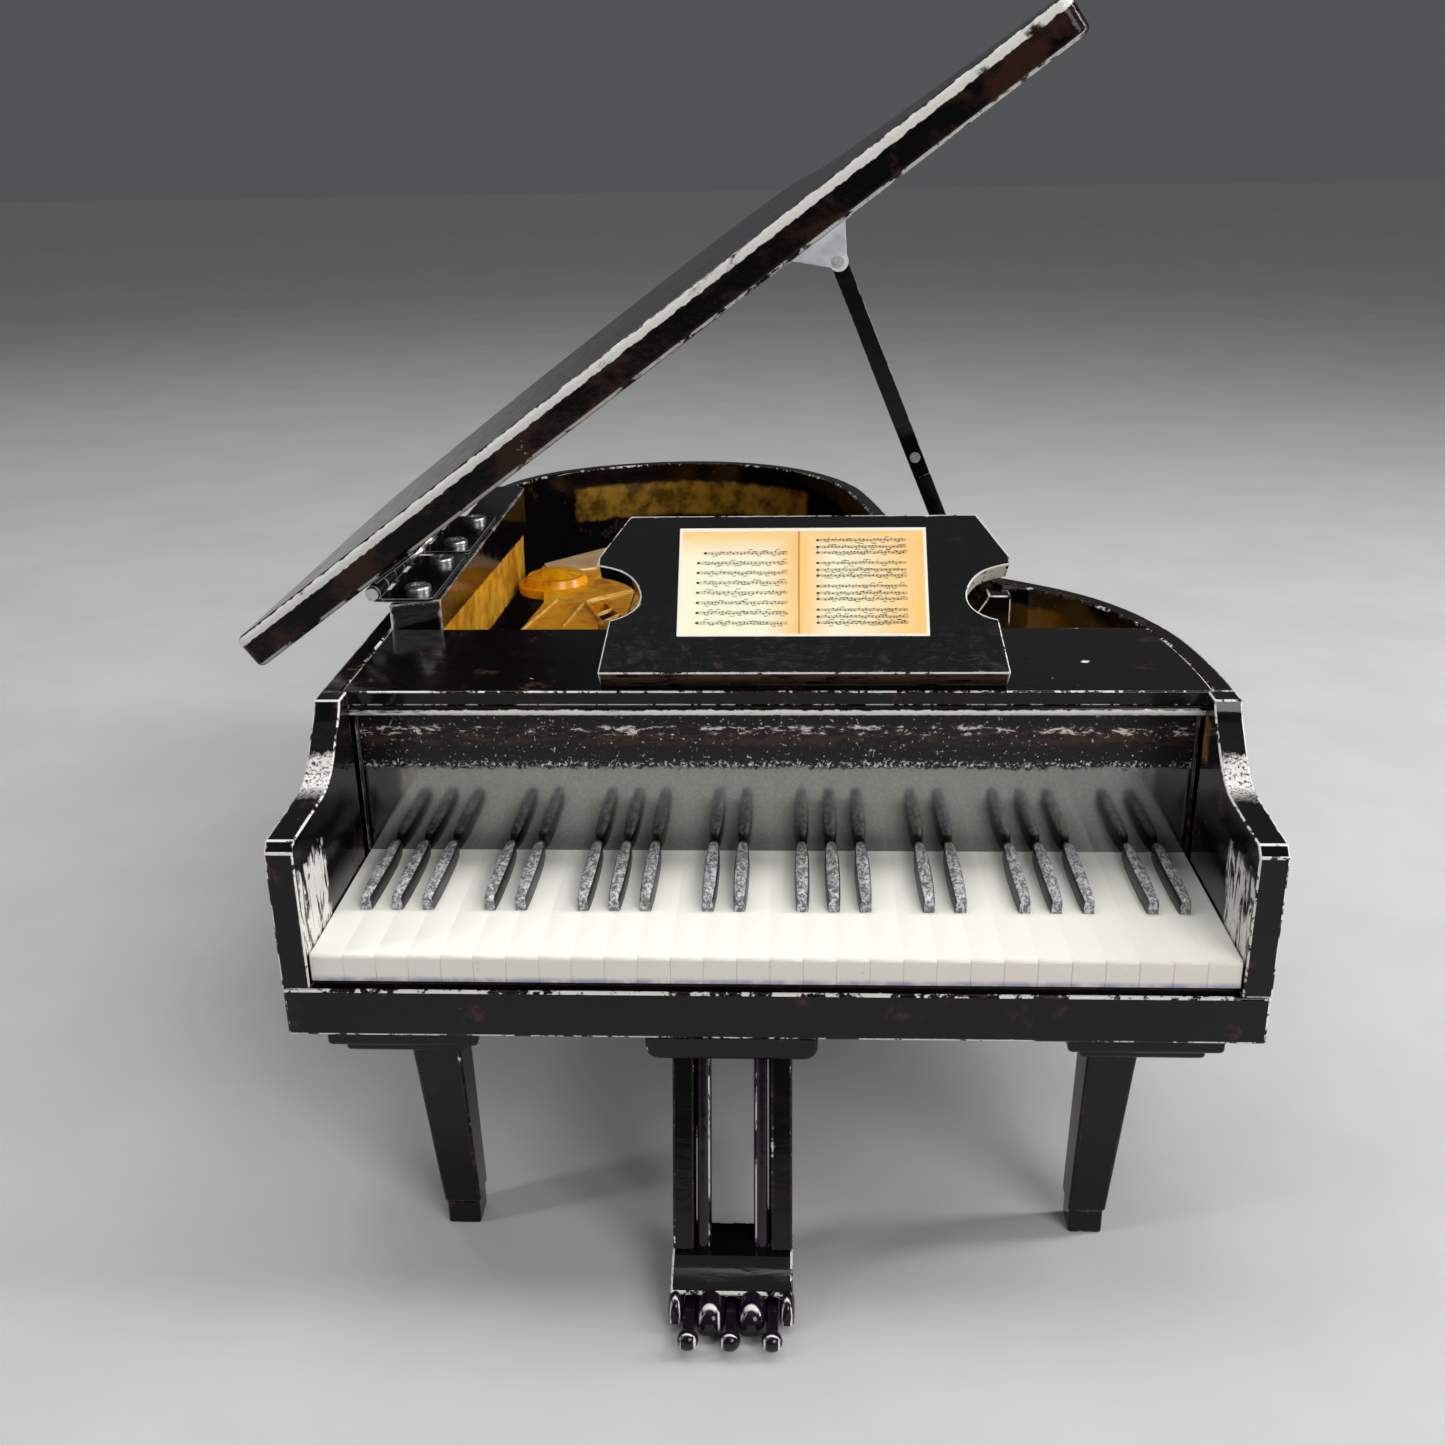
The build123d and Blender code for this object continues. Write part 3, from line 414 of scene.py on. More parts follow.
def node_bmesh(node):
    """A clean copy of a CAD node's mesh, in the frame: welded, with flat areas as single faces."""
    bm = bmesh.new()
    bm.from_mesh(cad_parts[node].data)
    bm.transform(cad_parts[node].matrix_world)
    bmesh.ops.remove_doubles(bm, verts=bm.verts, dist=1e-6)
    bmesh.ops.dissolve_limit(bm, angle_limit=math.radians(0.5), verts=bm.verts, edges=bm.edges)
    return bm


def smooth_mesh(name, bm, angle=32):
    """Turns a bmesh into a mesh that is shaded smooth except over edges sharper than angle."""
    mesh = bpy.data.meshes.new(name)
    bm.to_mesh(mesh)
    bm.free()
    for attribute in ("custom_normal", "sharp_face", "sharp_edge"):
        if attribute in mesh.attributes:
            mesh.attributes.remove(mesh.attributes[attribute])
    mesh.polygons.foreach_set("use_smooth", [True] * len(mesh.polygons))
    mesh.set_sharp_from_angle(angle=math.radians(angle))
    return mesh


def apply_modifiers(piece):
    """Bakes a piece's modifiers into its mesh."""
    depsgraph = bpy.context.evaluated_depsgraph_get()
    made = bpy.data.meshes.new_from_object(piece.evaluated_get(depsgraph))
    piece.modifiers.clear()
    piece.data = made


def soften_edges(piece, width, segments, angle):
    """Rounds over a piece's sharp edges, width millimetres wide, and marks the new faces as rims."""
    piece.data.materials.append(piece.data.materials[0])
    bevel = piece.modifiers.new("soften", "BEVEL")
    bevel.width, bevel.segments = width * MM, segments
    bevel.limit_method, bevel.angle_limit = "ANGLE", math.radians(angle)
    bevel.material = 1
    piece.modifiers.new("weight", "WEIGHTED_NORMAL").keep_sharp = True
    apply_modifiers(piece)
    mesh = piece.data
    rim = mesh.attributes.new(RIM, "FLOAT", "FACE")
    rim.data.foreach_set("value", [float(face.material_index) for face in mesh.polygons])
    mesh.polygons.foreach_set("material_index", [0] * len(mesh.polygons))
    mesh.materials.pop()


def softened(name, nodes, body, material, width=0.3, segments=2, angle=35):
    """A copy of CAD nodes with every sharp edge rounded over, which stands for them."""
    bm = node_bmesh(nodes[0])
    for other in nodes[1:]:
        extra = node_bmesh(other)
        part_mesh = bpy.data.meshes.new("extra")
        extra.to_mesh(part_mesh)
        extra.free()
        bm.from_mesh(part_mesh)
        bpy.data.meshes.remove(part_mesh)
    piece = new_piece(name, smooth_mesh(name, bm), body, material)
    soften_edges(piece, width, segments, angle)
    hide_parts(*nodes)
    return piece


def black_part(name, node, material, width, segments=2):
    """A lacquered piece, fixed to the case, that stands for one CAD node."""
    softened(name, [node], "case", material, width, segments)


def united_shell(name, nodes, material, width):
    """One seamless shell from solids that touch, softened at its edges."""
    bm = node_bmesh(nodes[0])
    piece = new_piece(name, smooth_mesh(name, bm), "case", material)
    helpers = []
    for other in nodes[1:]:
        helper = bpy.data.objects.new("helper", smooth_mesh("helper", node_bmesh(other)))
        bpy.context.scene.collection.objects.link(helper)
        union = piece.modifiers.new("union", "BOOLEAN")
        union.operation, union.solver = "UNION", "EXACT"
        union.object = helper
        helpers.append(helper)
    apply_modifiers(piece)
    for helper in helpers:
        bpy.data.objects.remove(helper)
    bm = bmesh.new()
    bm.from_mesh(piece.data)
    bmesh.ops.remove_doubles(bm, verts=bm.verts, dist=8e-6)
    bmesh.ops.dissolve_limit(bm, angle_limit=math.radians(0.6), verts=bm.verts, edges=bm.edges)
    mesh = smooth_mesh(name, bm)
    mesh.materials.append(material)
    piece.data = mesh
    soften_edges(piece, width, 2, 40)
    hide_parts(*nodes)
    return piece


def loft(bm, rings):
    """A closed solid through rings of vertices, with a flat cap at each end, added to bm."""
    count = len(rings[0])
    for one, two in zip(rings, rings[1:]):
        for i in range(count):
            j = (i + 1) % count
            bm.faces.new((one[i], one[j], two[j], two[i]))
    bm.faces.new(list(reversed(rings[0])))
    bm.faces.new(rings[-1])


def bar(bm, start, end, width, height, up=Vector((0, 0, 1))):
    """A low ridge with a rounded top between two points, added to bm; sizes in metres."""
    along = (end - start).normalized()
    side = along.cross(up).normalized() * (width / 2)
    profile = [(-1, 0), (-0.75, 0.7), (-0.3, 1), (0.3, 1), (0.75, 0.7), (1, 0)]
    rings = []
    for point in (start, end):
        rings.append([bm.verts.new(point + side * s + up * (height * h)) for s, h in profile])
    loft(bm, rings)


def slab(bm, corners, thickness, up=Vector((0, 0, 1))):
    """A thin plate over the given corners, with its upper rim drawn in a little, added to bm."""
    middle = sum(corners, Vector()) / len(corners)
    low = [bm.verts.new(c) for c in corners]
    high = [bm.verts.new(c + (middle - c) * 0.03 + up * thickness) for c in corners]
    loft(bm, [low, high])


def finish_bmesh(name, bm, body, material):
    """A piece made from bm, with its faces turned outwards."""
    bmesh.ops.recalc_face_normals(bm, faces=bm.faces)
    return new_piece(name, smooth_mesh(name, bm), body, material)


# --- case ---------------------------------------------------------------------------------
case_paint = lacquer("case_lacquer", 0.45, 0.35, 0.7, 0.0, patches=(
    (tail_gold, gold_paint), (treble_ochre, dark_ochre)))
cheek_paint = lacquer("cheek_lacquer", 0.85, 0.55, 0.8, 2.0, patches=(
    (cheek_wear, PRIMER), (cheek_inner_wear_and_sheen, PRIMER), (cheek_ochre, gold_paint)))

united_shell("case_rim", ["bass_wall", "tail_wall", "bentside_wall"], case_paint, 0.35)
black_part("cheek_bass", "left_cheek", cheek_paint, 0.32, 3)
black_part("cheek_treble", "right_cheek", cheek_paint, 0.32, 3)
black_part("bottom_board", "base_board", lacquer("base_lacquer", 0.75, 0.5, 0.6, 4.0), 0.35, 3)


def deck_fleck(s):
    """One drop of white paint on the treble side of the deck."""
    away = s.node("ShaderNodeVectorMath", {0: s.place, 1: (CASE_X + 42.9, CASE_Y + 39.3, 69.5)},
                  operation="DISTANCE").outputs["Value"]
    return s.step(s.math("ADD", away, s.noise(0.6, 2, 0.5)), 1.10, 0.95)


deck_paint = lacquer("deck_lacquer", 0.8, 0.35, 0.6, 5.0, patches=((deck_fleck, (0.85, 0.83, 0.78, 1)),))
black_part("deck", "deck_board", deck_paint, 0.2)
# The moulding's nose carries a painted highlight line in primer colour.
moulding_paint = lacquer("moulding_lacquer", 0.6, 0.8, 0.5, 6.0, (0.25, 1, 1), ((moulding_highlight, PRIMER),))
black_part("deck_nose", "deck_moulding", moulding_paint, 0.15)
rail_paint = lacquer("rail_lacquer", 1.15, 0.3, 1.3, 7.0, patches=((rail_gold, bright_gold),))
black_part("hinge_block", "hinge_rail", rail_paint, 0.35, 3)


def mirror_black():
    """The fallboard: polished low down, where it mirrors the keys, and speckled with wear above."""
    s = Shader("fallboard_gloss", IOR=1.5, Specular_IOR_Level=0.3)
    z = s.axes()[2]
    wander = s.math("MULTIPLY", s.math("SUBTRACT", s.noise(1.1, 5, 0.7, shift=2), 0.5), 2.2)
    polish = s.step(s.math("ADD", z, wander), 57.7, 57.3)
    specks = s.step(s.noise(0.55, 5, 0.7, shift=14), 0.635, 0.66)
    crust = both(s, s.step(s.noise(0.6, 5, 0.7, (0.5, 1, 1), 19), 0.46, 0.50), s.step(z, 65.0, 65.6))
    specks = s.math("MAXIMUM", specks, crust)
    streak = s.noise(0.9, 6, 0.75, (0.3, 1, 1), 9, 0.4)
    brown = both(s, ragged(s, z, 60.8, 63.6, 0.5, 1.2, 2.0, 4.0), s.step(streak, 0.42, 0.56))
    upper = s.step(z, 57.2, 58.0)
    line = both(s, s.step(streak, 0.54, 0.58), ragged(s, z, 62.4, 63.5, 0.2, 0.8, 1.4, 12))
    shore = both(s, s.step(s.noise(0.5, 5, 0.75, shift=40), 0.53, 0.57),
                 s.band(s.math("ADD", z, wander), 57.2, 58.3, 0.3))
    pale = both(s, s.math("MAXIMUM", s.math("MAXIMUM", specks, line), shore), upper)
    colour = s.mix(brown, BLACK, BROWN)
    colour = s.mix(s.math("MULTIPLY", pale, 0.9), colour, PRIMER)
    dust = s.noise(0.5, 3, 0.6, shift=21)
    sheen = s.mix(s.step(dust, 0.35, 0.75), (0.20, 0.20, 0.198, 1), (0.25, 0.25, 0.245, 1))
    colour = s.mix(polish, colour, sheen)
    s.bump(s.noise(7.0, 2, 0.5, shift=3), 0.08, 0.10)
    rough = s.blend(polish, s.blend(pale, 0.22, 0.5), 0.10)
    return s.put(Base_Color=colour, Roughness=rough, Metallic=polish)


black_part("key_fallboard", "fallboard", mirror_black(), 0.1)

# --- keyboard -----------------------------------------------------------------------------
def key_row():
    """The white keys as one moulded row: rounded front edge and a faint groove between neighbours."""
    low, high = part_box("white_key_block")
    pitch = (high[0] - low[0]) / KEYS
    round_off = 0.55 * MM
    arc_steps = 5
    profile = [(low[1], low[2]), (low[1], high[2] - round_off)]
    for step in range(1, arc_steps + 1):
        turn = math.radians(90 / arc_steps * step)
        inward = round_off * (1 - math.cos(turn))
        down = round_off * (1 - math.sin(turn))
        profile.append((low[1] + inward, high[2] - down))
    front_points = len(profile)
    profile += [(high[1], high[2]), (high[1], low[2])]
    groove_depth, groove_half = 0.07 * MM, 0.10 * MM
    sections = [(low[0], 0)]
    for key in range(KEYS):
        left = low[0] + key * pitch
        sections += [(left + groove_half, 0), (left + pitch - groove_half, 0)]
        if key < KEYS - 1:
            sections.append((left + pitch, groove_depth))
    sections.append((high[0], 0))
    bm = bmesh.new()
    rings = []
    for x, groove in sections:
        ring = []
        for i, (y, z) in enumerate(profile):
            front = groove if i < front_points else 0
            sink = groove * 0.2 if 2 <= i <= front_points else 0
            ring.append(bm.verts.new((x, y + front, z - sink)))
        rings.append(ring)
    loft(bm, rings)
    piece = finish_bmesh("white_keys", bm, "case", ivory())
    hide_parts("white_key_block")


key_row()


def island_spans(node):
    """For each separate solid of a CAD node, its lowest and highest x, y and z."""
    bm = node_bmesh(node)
    spans = []
    unseen = set(bm.verts)
    while unseen:
        island, front = [], [unseen.pop()]
        while front:
            vert = front.pop()
            island.append(vert)
            for edge in vert.link_edges:
                other = edge.other_vert(vert)
                if other in unseen:
                    unseen.remove(other)
                    front.append(other)
        spans.append([(min(v.co[i] for v in island), max(v.co[i] for v in island)) for i in range(3)])
    bm.free()
    return sorted(spans)


def sharps():
    """The black keys: hand-made bars, narrower at both ends, with rounded tops."""
    bm = bmesh.new()
    # How far along the key, how wide and how high it is there, as shares of its size.
    shape = ((0.0, 0.66, 0.80), (0.03, 0.76, 0.94), (0.2, 0.92, 1.0), (0.45, 1.0, 1.0), (0.7, 0.98, 1.0),
             (0.88, 0.80, 0.98), (0.96, 0.56, 0.88), (1.0, 0.34, 0.62))
    # The cross-section, as shares of half the width and of the height.
    outline = ((-1, 0), (-0.97, 0.72), (-0.78, 0.93), (-0.4, 1), (0.4, 1), (0.78, 0.93), (0.97, 0.72), (1, 0))
    for (x0, x1), (y0, y1), (z0, z1) in island_spans("black_keys"):
        rings = []
        for along, wide, high in shape:
            middle_x, half, y = (x0 + x1) / 2, (x1 - x0) / 2 * wide, y0 + (y1 - y0) * along
            rings.append([bm.verts.new((middle_x + half * across, y, z0 + (z1 - z0) * high * up))
                          for across, up in outline])
        loft(bm, rings)
    piece = finish_bmesh("sharps", bm, "case", black_key_paint())
    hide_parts("black_keys")


sharps()

# A bead of thick paint up each corner between the fallboard and a cheek.
bm = bmesh.new()
for side in (-1, 1):
    foot, top = at(side * 56.35, 30.25, 45.1), at(side * 56.35, 30.25, 66.0)
    bar(bm, foot, top, 0.8 * MM, 0.3 * MM, Vector((-side, -1, 0)).normalized())
finish_bmesh("corner_beads", bm, "case", lacquer("bead_lacquer", 1.0, 0.4, 0.4, 15.0))

# --- inside the case ----------------------------------------------------------------------
gold = amber_gold()
softened("gold_plate", ["iron_plate"], "case", gold, 0.25, 2)

PLATE_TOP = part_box("string_bar")[0][2] / MM
SUNK = 0.02  # how deep added details reach into the plate
# The ribs' ends on the plate, in millimetres off the case's centreline and front.
rib_lines = (
    ((-36.8, 88.0), (-34.9, 103.0)), ((-34.9, 103.0), (-28.9, 86.4)), ((-43.6, 86.0), (-40.2, 104.0)),
    ((-34.9, 103.0), (-27.0, 110.0)), ((-26.2, 92.0), (-25.0, 104.0)), ((-40.2, 104.0), (-34.9, 103.0)),
    ((-44.0, 56.5), (-44.0, 71.5)), ((-20.5, 120.5), (-8.6, 123.5)), ((-4.4, 122.5), (8.6, 115.0)),
    ((-42.0, 56.0), (46.0, 56.0)), ((-36.8, 70.8), (30.0, 70.8)),
)
bm = bmesh.new()
for (x0, y0), (x1, y1) in rib_lines:
    bar(bm, at(x0, y0, PLATE_TOP - SUNK), at(x1, y1, PLATE_TOP - SUNK), 0.55 * MM, 0.4 * MM)
rib_gold = plain("rib_gold", (0.80, 0.42, 0.05, 1), (1.0, 0.72, 0.25, 1), 2.0, 0.2, 0.4, Metallic=0.3)
finish_bmesh("plate_ribs", bm, "case", rib_gold)

# Two bars across the plate's slanting window, a little below its face.
bm = bmesh.new()
for share in (0.33, 0.66):
    left = at(-33.3 + 4.5 * share, 100 - 13.4 * share, PLATE_TOP - 0.5)
    right = at(-31.3 + 5.1 * share, 102.5 - 10.5 * share, PLATE_TOP - 0.5)
    bar(bm, left, right, 0.5 * MM, 0.6 * MM)
finish_bmesh("window_bars", bm, "case", rib_gold)

# A thin slab on the plate's wing, coloured pale peach as a painted reflection.
bm = bmesh.new()
wing = [(-46.3, 128.4), (-45.0, 124.4), (-41.7, 122.7), (-35.5, 125.4), (-35.2, 140.9)]
slab(bm, [at(x, y, PLATE_TOP - SUNK) for x, y in wing], 0.35 * MM)
wing_glare = plain("wing_glare_gold", (0.72, 0.44, 0.20, 1), (0.90, 0.62, 0.34, 1), 4.0, 0.35, 0.5, Metallic=0.1)
finish_bmesh("plate_wing", bm, "case", wing_glare)

# A low, lumpy dome at the plate's round lobe, which hides most of it.
bm = bmesh.new()
boss = at(-42.1, 116.5, PLATE_TOP - 0.1)
boss_x, boss_y, boss_z = 6.1, 5.6, 2.6  # half width, half depth and height, in millimetres
bmesh.ops.create_icosphere(bm, subdivisions=2, radius=1.0)
lumps = random.Random(3)
for vert in bm.verts:
    lump = 1 + lumps.uniform(-0.07, 0.07)
    point = Vector((vert.co.x * boss_x, vert.co.y * boss_y, max(vert.co.z, 0.0) * boss_z))
    vert.co = boss + point * (lump * MM)
boss_mesh = bpy.data.meshes.new("plate_boss")
bm.to_mesh(boss_mesh)
bm.free()
new_piece("plate_boss", boss_mesh, "case", gold)

# Three rows of slightly tapered tuning pins, each row set a little further to the treble.
bm = bmesh.new()
for row, y in enumerate((60.0, 63.2, 66.4)):
    for i in range(16):
        x = -37.0 + i * 4.4 + row * 1.4
        centre = Matrix.Translation(at(x, y, PLATE_TOP + 0.75))
        bmesh.ops.create_cone(bm, cap_ends=True, segments=12, radius1=0.45 * MM, radius2=0.36 * MM,
                              depth=1.6 * MM, matrix=centre)
pin_steel = plain("pin_steel", (0.25, 0.25, 0.26, 1), (0.60, 0.60, 0.62, 1), 0.8, 0.25, 0.4, Metallic=1.0)
finish_bmesh("tuning_pins", bm, "case", pin_steel)

dark_wood = plain("dark_wood", (0.012, 0.007, 0.005, 1), (0.045, 0.022, 0.014, 1), 3.0, 0.45, 0.65, 0.3, 0.1,
                  (1, 0.12, 1))
for node in ("soundboard", "plate_posts", "key_rail", "belly_rail"):
    repaint(node, dark_wood)
bar_gold = plain("bar_gold", (0.45, 0.20, 0.02, 1), (0.75, 0.40, 0.05, 1), 2.5, 0.25, 0.4, Metallic=0.2)
softened("bridge_bar", ["string_bar"], "case", bar_gold, 0.3, 3)
wire = plain("wire", (0.45, 0.30, 0.12, 1), (0.75, 0.58, 0.32, 1), 1.0, 0.25, 0.4, Metallic=1.0)

# --- music desk and its sheet -------------------------------------------------------------
DESK_UP = Vector((0, DESK_SIN, DESK_SIN))
DESK_OUT = Vector((0, -DESK_SIN, DESK_SIN))


def desk_notch_bare(s):
    """Bare cream wood on the underside of the treble notch."""
    x, _, z = s.axes()
    place = both(s, s.step(x, CASE_X + 23.5, CASE_X + 24.5), s.step(z, 76, 77))
    return both(s, place, facing(s, -DESK_UP, 0.1), s.step(s.noise(1.0, 4, 0.7), 0.36, 0.42))


def desk_foot_brown(s):
    """The desk's lower edge, rubbed to brown."""
    z = s.axes()[2]
    return both(s, facing(s, -DESK_UP, 0.5), s.step(z, 74, 73),
                s.step(s.noise(1.2, 5, 0.7, (0.3, 1, 1), 3), 0.38, 0.52))


def desk_swirl_sheen(s):
    """Swirling polishing marks, coloured grey as a painted sheen, clearest low on the desk."""
    z = s.axes()[2]
    arcs = s.noise(3.5, 3, 0.6, shift=7, twist=2.5)
    hairs = s.noise(0.5, 4, 0.7, (0.15, 1, 1), 5, 1.0)
    low = s.step(z, 80, 73)
    scratch_sheen = both(s, s.step(arcs, 0.42, 0.70), s.step(hairs, 0.42, 0.66))
    return s.math("MULTIPLY", scratch_sheen, s.blend(low, 0.02, 0.22))


# The grey swirls on the desk are a painted sheen.
desk_paint = lacquer("desk_lacquer", 0.95, 0.3, 0.7, 8.0, patches=(
    (desk_swirl_sheen, (0.11, 0.11, 0.13, 1)), (desk_foot_brown, (0.085, 0.045, 0.030, 1)),
    (desk_notch_bare, (0.72, 0.68, 0.58, 1))))
black_part("desk_board", "music_desk", desk_paint, 0.22, 2)
black_part("desk_props", "desk_wedges", lacquer("wedge_lacquer", 0.6, 0.5, 0.5, 9.0), 0.2)

sheet_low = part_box("sheet_music")[0]
SHEET_THICKNESS = 0.15
sheet_corner = Vector((sheet_low[0], sheet_low[1], sheet_low[2] + SHEET_THICKNESS * MM * DESK_SIN))
INK_RISE = 0.012  # how far the print stands off the paper


def on_sheet(x, y):
    """A point on the printed face, from its lower left corner, in millimetres."""
    return sheet_corner + Vector((x * MM, 0, 0)) + DESK_UP * (y * MM) + DESK_OUT * (INK_RISE * MM)


def ink(bm, x0, y0, x1, y1, width):
    """A flat stroke of ink between two points of the sheet."""
    along = Vector((x1 - x0, y1 - y0)).normalized()
    side = Vector((-along.y, along.x)) * (width / 2)
    corners = ((x0 - side.x, y0 - side.y), (x1 - side.x, y1 - side.y), (x1 + side.x, y1 + side.y),
               (x0 + side.x, y0 + side.y))
    bm.faces.new([bm.verts.new(on_sheet(x, y)) for x, y in corners])


def note_head(bm, x, y, radius):
    """A filled oval, a quarter wider than it is high."""
    turns = [i * math.tau / 8 for i in range(8)]
    rim = [on_sheet(x + radius * 1.25 * math.cos(t), y + radius * math.sin(t)) for t in turns]
    bm.faces.new([bm.verts.new(point) for point in rim])


def staff(bm, dice, left, right, y, gap, busy):
    """Five lines, a clef blob, and a run of plain notes that spells no real tune.

    y is the lowest line, gap the space between lines, and busy the share of notes that have a beam.
    """
    for line in range(5):
        ink(bm, left, y + line * gap, right, y + line * gap, 0.022)
    note_head(bm, left - 0.25, y + 2 * gap, 0.20)
    x = left + 0.7
    while x < right - 0.3:
        height = y + dice.uniform(0, 4) * gap
        note_head(bm, x, height, 0.095)
        stem_x, stem_end = x + 0.08, height + dice.choice((-1, 1)) * 0.36
        ink(bm, stem_x, height, stem_x, stem_end, 0.035)
        if dice.random() < busy:
            ink(bm, stem_x, stem_end, x + 0.62, stem_end + dice.uniform(-0.05, 0.05), 0.085)
        x += dice.uniform(0.36, 0.62)
    for share in (0.27, 0.52, 0.77, 1.0):
        bar_x = left + (right - left) * share
        ink(bm, bar_x, y, bar_x, y + 4 * gap, 0.028)


dice = random.Random(7)
bm = bmesh.new()
# The left page: single staves, the first one indented.
rows = 8
for row in range(rows):
    indent = 0.9 if row == 0 else 0.0
    staff(bm, dice, 2.9 + indent, 14.6, 1.75 + 1.52 * (rows - 1 - row), 0.105, 0.55)
# The right page: staves in threes, joined by a bracket.
for system in range(4):
    top = 14.4 - 3.55 * system
    staff(bm, dice, 19.0, 30.6, top, 0.085, 0.3)
    staff(bm, dice, 19.0, 30.6, top - 1.05, 0.085, 0.35)
    staff(bm, dice, 19.0, 30.6, top - 1.95, 0.085, 0.7)
    ink(bm, 18.75, top - 1.95, 18.75, top - 0.7, 0.06)
ink_black = plain("ink", (0.035, 0.026, 0.028, 1), (0.11, 0.075, 0.065, 1), 1.2, 0.6, 0.8)
printed = bpy.data.meshes.new("sheet_print")
bm.to_mesh(printed)
bm.free()
new_piece("sheet_print", printed, "case", ink_black)

# --- legs and pedal lyre ------------------------------------------------------------------
leg_paint = lacquer("leg_lacquer", 0.12, 0.25, 0.5, 10.0)
for place in ("front_left", "front_right", "rear"):
    black_part(f"{place}_leg_post", f"{place}_leg", leg_paint, 0.45, 3)
    for part, node in (("shoe", "foot"), ("plate", "bracket"), ("plate_step", "bracket_step")):
        black_part(f"{place}_{part}", f"{place}_{node}", leg_paint, 0.3, 3)

lyre_paint = lacquer("lyre_lacquer", 0.25, 0.3, 0.4, 11.0)
black_part("lyre_head", "lyre_top_plate", lyre_paint, 0.35, 3)
for side in ("left", "right"):
    black_part(f"lyre_{side}_bar", f"lyre_{side}_post", lyre_paint, 0.3, 3)
# The pedal box's heavily paled edges are partly worn primer and partly painted highlight lines.
black_part("pedal_block", "pedal_box", lacquer("pedal_lacquer", 0.72, 0.3, 0.4, 16.0), 0.3, 3)


def black_with_painted_highlights():
    """Pooled gloss black with a purple cast and painted highlights: pale streaks on front-facing sides and a
    pale arc on faces turned up and forward.
    """
    s = Shader("black_with_painted_highlights", IOR=1.5, Specular_IOR_Level=0.4)
    cloud = s.noise(2.5, 3, 0.5, shift=3)
    normal = s.node("ShaderNodeNewGeometry").outputs["Normal"]
    sideways = s.math("ABSOLUTE", s.vector("DOT_PRODUCT", normal, (1, 0, 0)))
    # Painted highlights: pale streaks on front-facing sides turned partly sideways.
    streak = both(s, s.band(sideways, 0.60, 0.78, 0.03), facing(s, (0, -1, 0)),
                  s.step(s.noise(3.0, 4, 0.6, (1, 1, 0.3), 33), 0.46, 0.52))
    # A painted highlight arc on faces turned up and forward.
    forward_lean = s.vector("DOT_PRODUCT", normal, (0, -0.93, 0.36))
    glint = both(s, s.band(forward_lean, 0.58, 0.72, 0.03), facing(s, (0, 0.36, 0.93), 0.50))
    streak = s.math("MAXIMUM", streak, glint)
    colour = s.mix(cloud, (0.004, 0.003, 0.005, 1), (0.014, 0.007, 0.016, 1))
    s.bump(s.noise(1.8, 2, 0.5), 0.25, 0.12)
    # The painted highlights take the primer colour.
    return s.put(Base_Color=s.mix(streak, colour, PRIMER), Roughness=s.blend(cloud, 0.05, 0.14))


highlit_black = black_with_painted_highlights()

# Lobes of pooled lacquer between the pedals: middle x, half width, front y and top z, in millimetres.
LOBE_BACK_Y, LOBE_FLOOR_Z = -9.6, 1.1
ARC_STEPS = 12
bm = bmesh.new()
for lobe_x, half, front_y, top in ((-7.35, 1.85, -14.4, 4.3), (-2.25, 1.85, -14.4, 4.3),
                                   (-11.7, 1.0, -12.6, 4.2), (2.1, 1.0, -12.6, 4.2)):
    rings = []
    for share in (0.0, 0.5, 0.8, 0.93, 1.0):
        swell = math.sqrt(max(0.0, 1 - share ** 4)) if share < 1 else 0.12
        ring = []
        for i in range(ARC_STEPS + 1):
            turn = math.pi * i / ARC_STEPS
            x = lobe_x - half * math.cos(turn) * (0.35 + 0.65 * swell)
            y = LOBE_BACK_Y + (front_y - LOBE_BACK_Y) * share
            z = LOBE_FLOOR_Z + (top - LOBE_FLOOR_Z) * math.sin(turn) ** 0.6 * (0.25 + 0.75 * swell)
            ring.append(bm.verts.new(at(x, y, z)))
        rings.append(ring)
    loft(bm, rings)
# The lobes carry painted highlight arcs along their tops.
finish_bmesh("pedal_lobes", bm, "case", highlit_black)

# --- lid ----------------------------------------------------------------------------------
LID_NORMAL = (-math.sin(LID_ANGLE), 0, math.cos(LID_ANGLE))
LID_AXIS = (CASE_X - 60, 0, 74.55)  # a point on the hinge line, in millimetres
# The lid's faces, from the hinge line and square to the lid.
LID_UNDERSIDE, LID_TOP = 1.35, 6.95


def lid_height(s):
    """How far a place is above the hinge line, square to the lid, in millimetres."""
    return s.vector("DOT_PRODUCT", s.vector("SUBTRACT", s.place, LID_AXIS), LID_NORMAL)


def lid_front_brown(s):
    """The lid's front edge, rubbed brown in long streaks."""
    y = s.axes()[1]
    streaks = s.step(s.noise(2.2, 5, 0.65, (0.22, 1, 0.30), 21), 0.46, 0.60)
    return both(s, streaks, s.step(y, CASE_Y + 56, CASE_Y + 55))


def lid_low_wear(s):
    """A thin pale line where the lid's front meets its underside."""
    y = s.axes()[1]
    line = s.band(lid_height(s), LID_UNDERSIDE + 0.01, LID_UNDERSIDE + 0.60, 0.08)
    gaps = s.step(s.noise(2.5, 5, 0.7, (0.35, 1, 0.35), 27), 0.44, 0.50)
    return both(s, line, gaps, s.step(y, CASE_Y + 55.0, CASE_Y + 54.7))


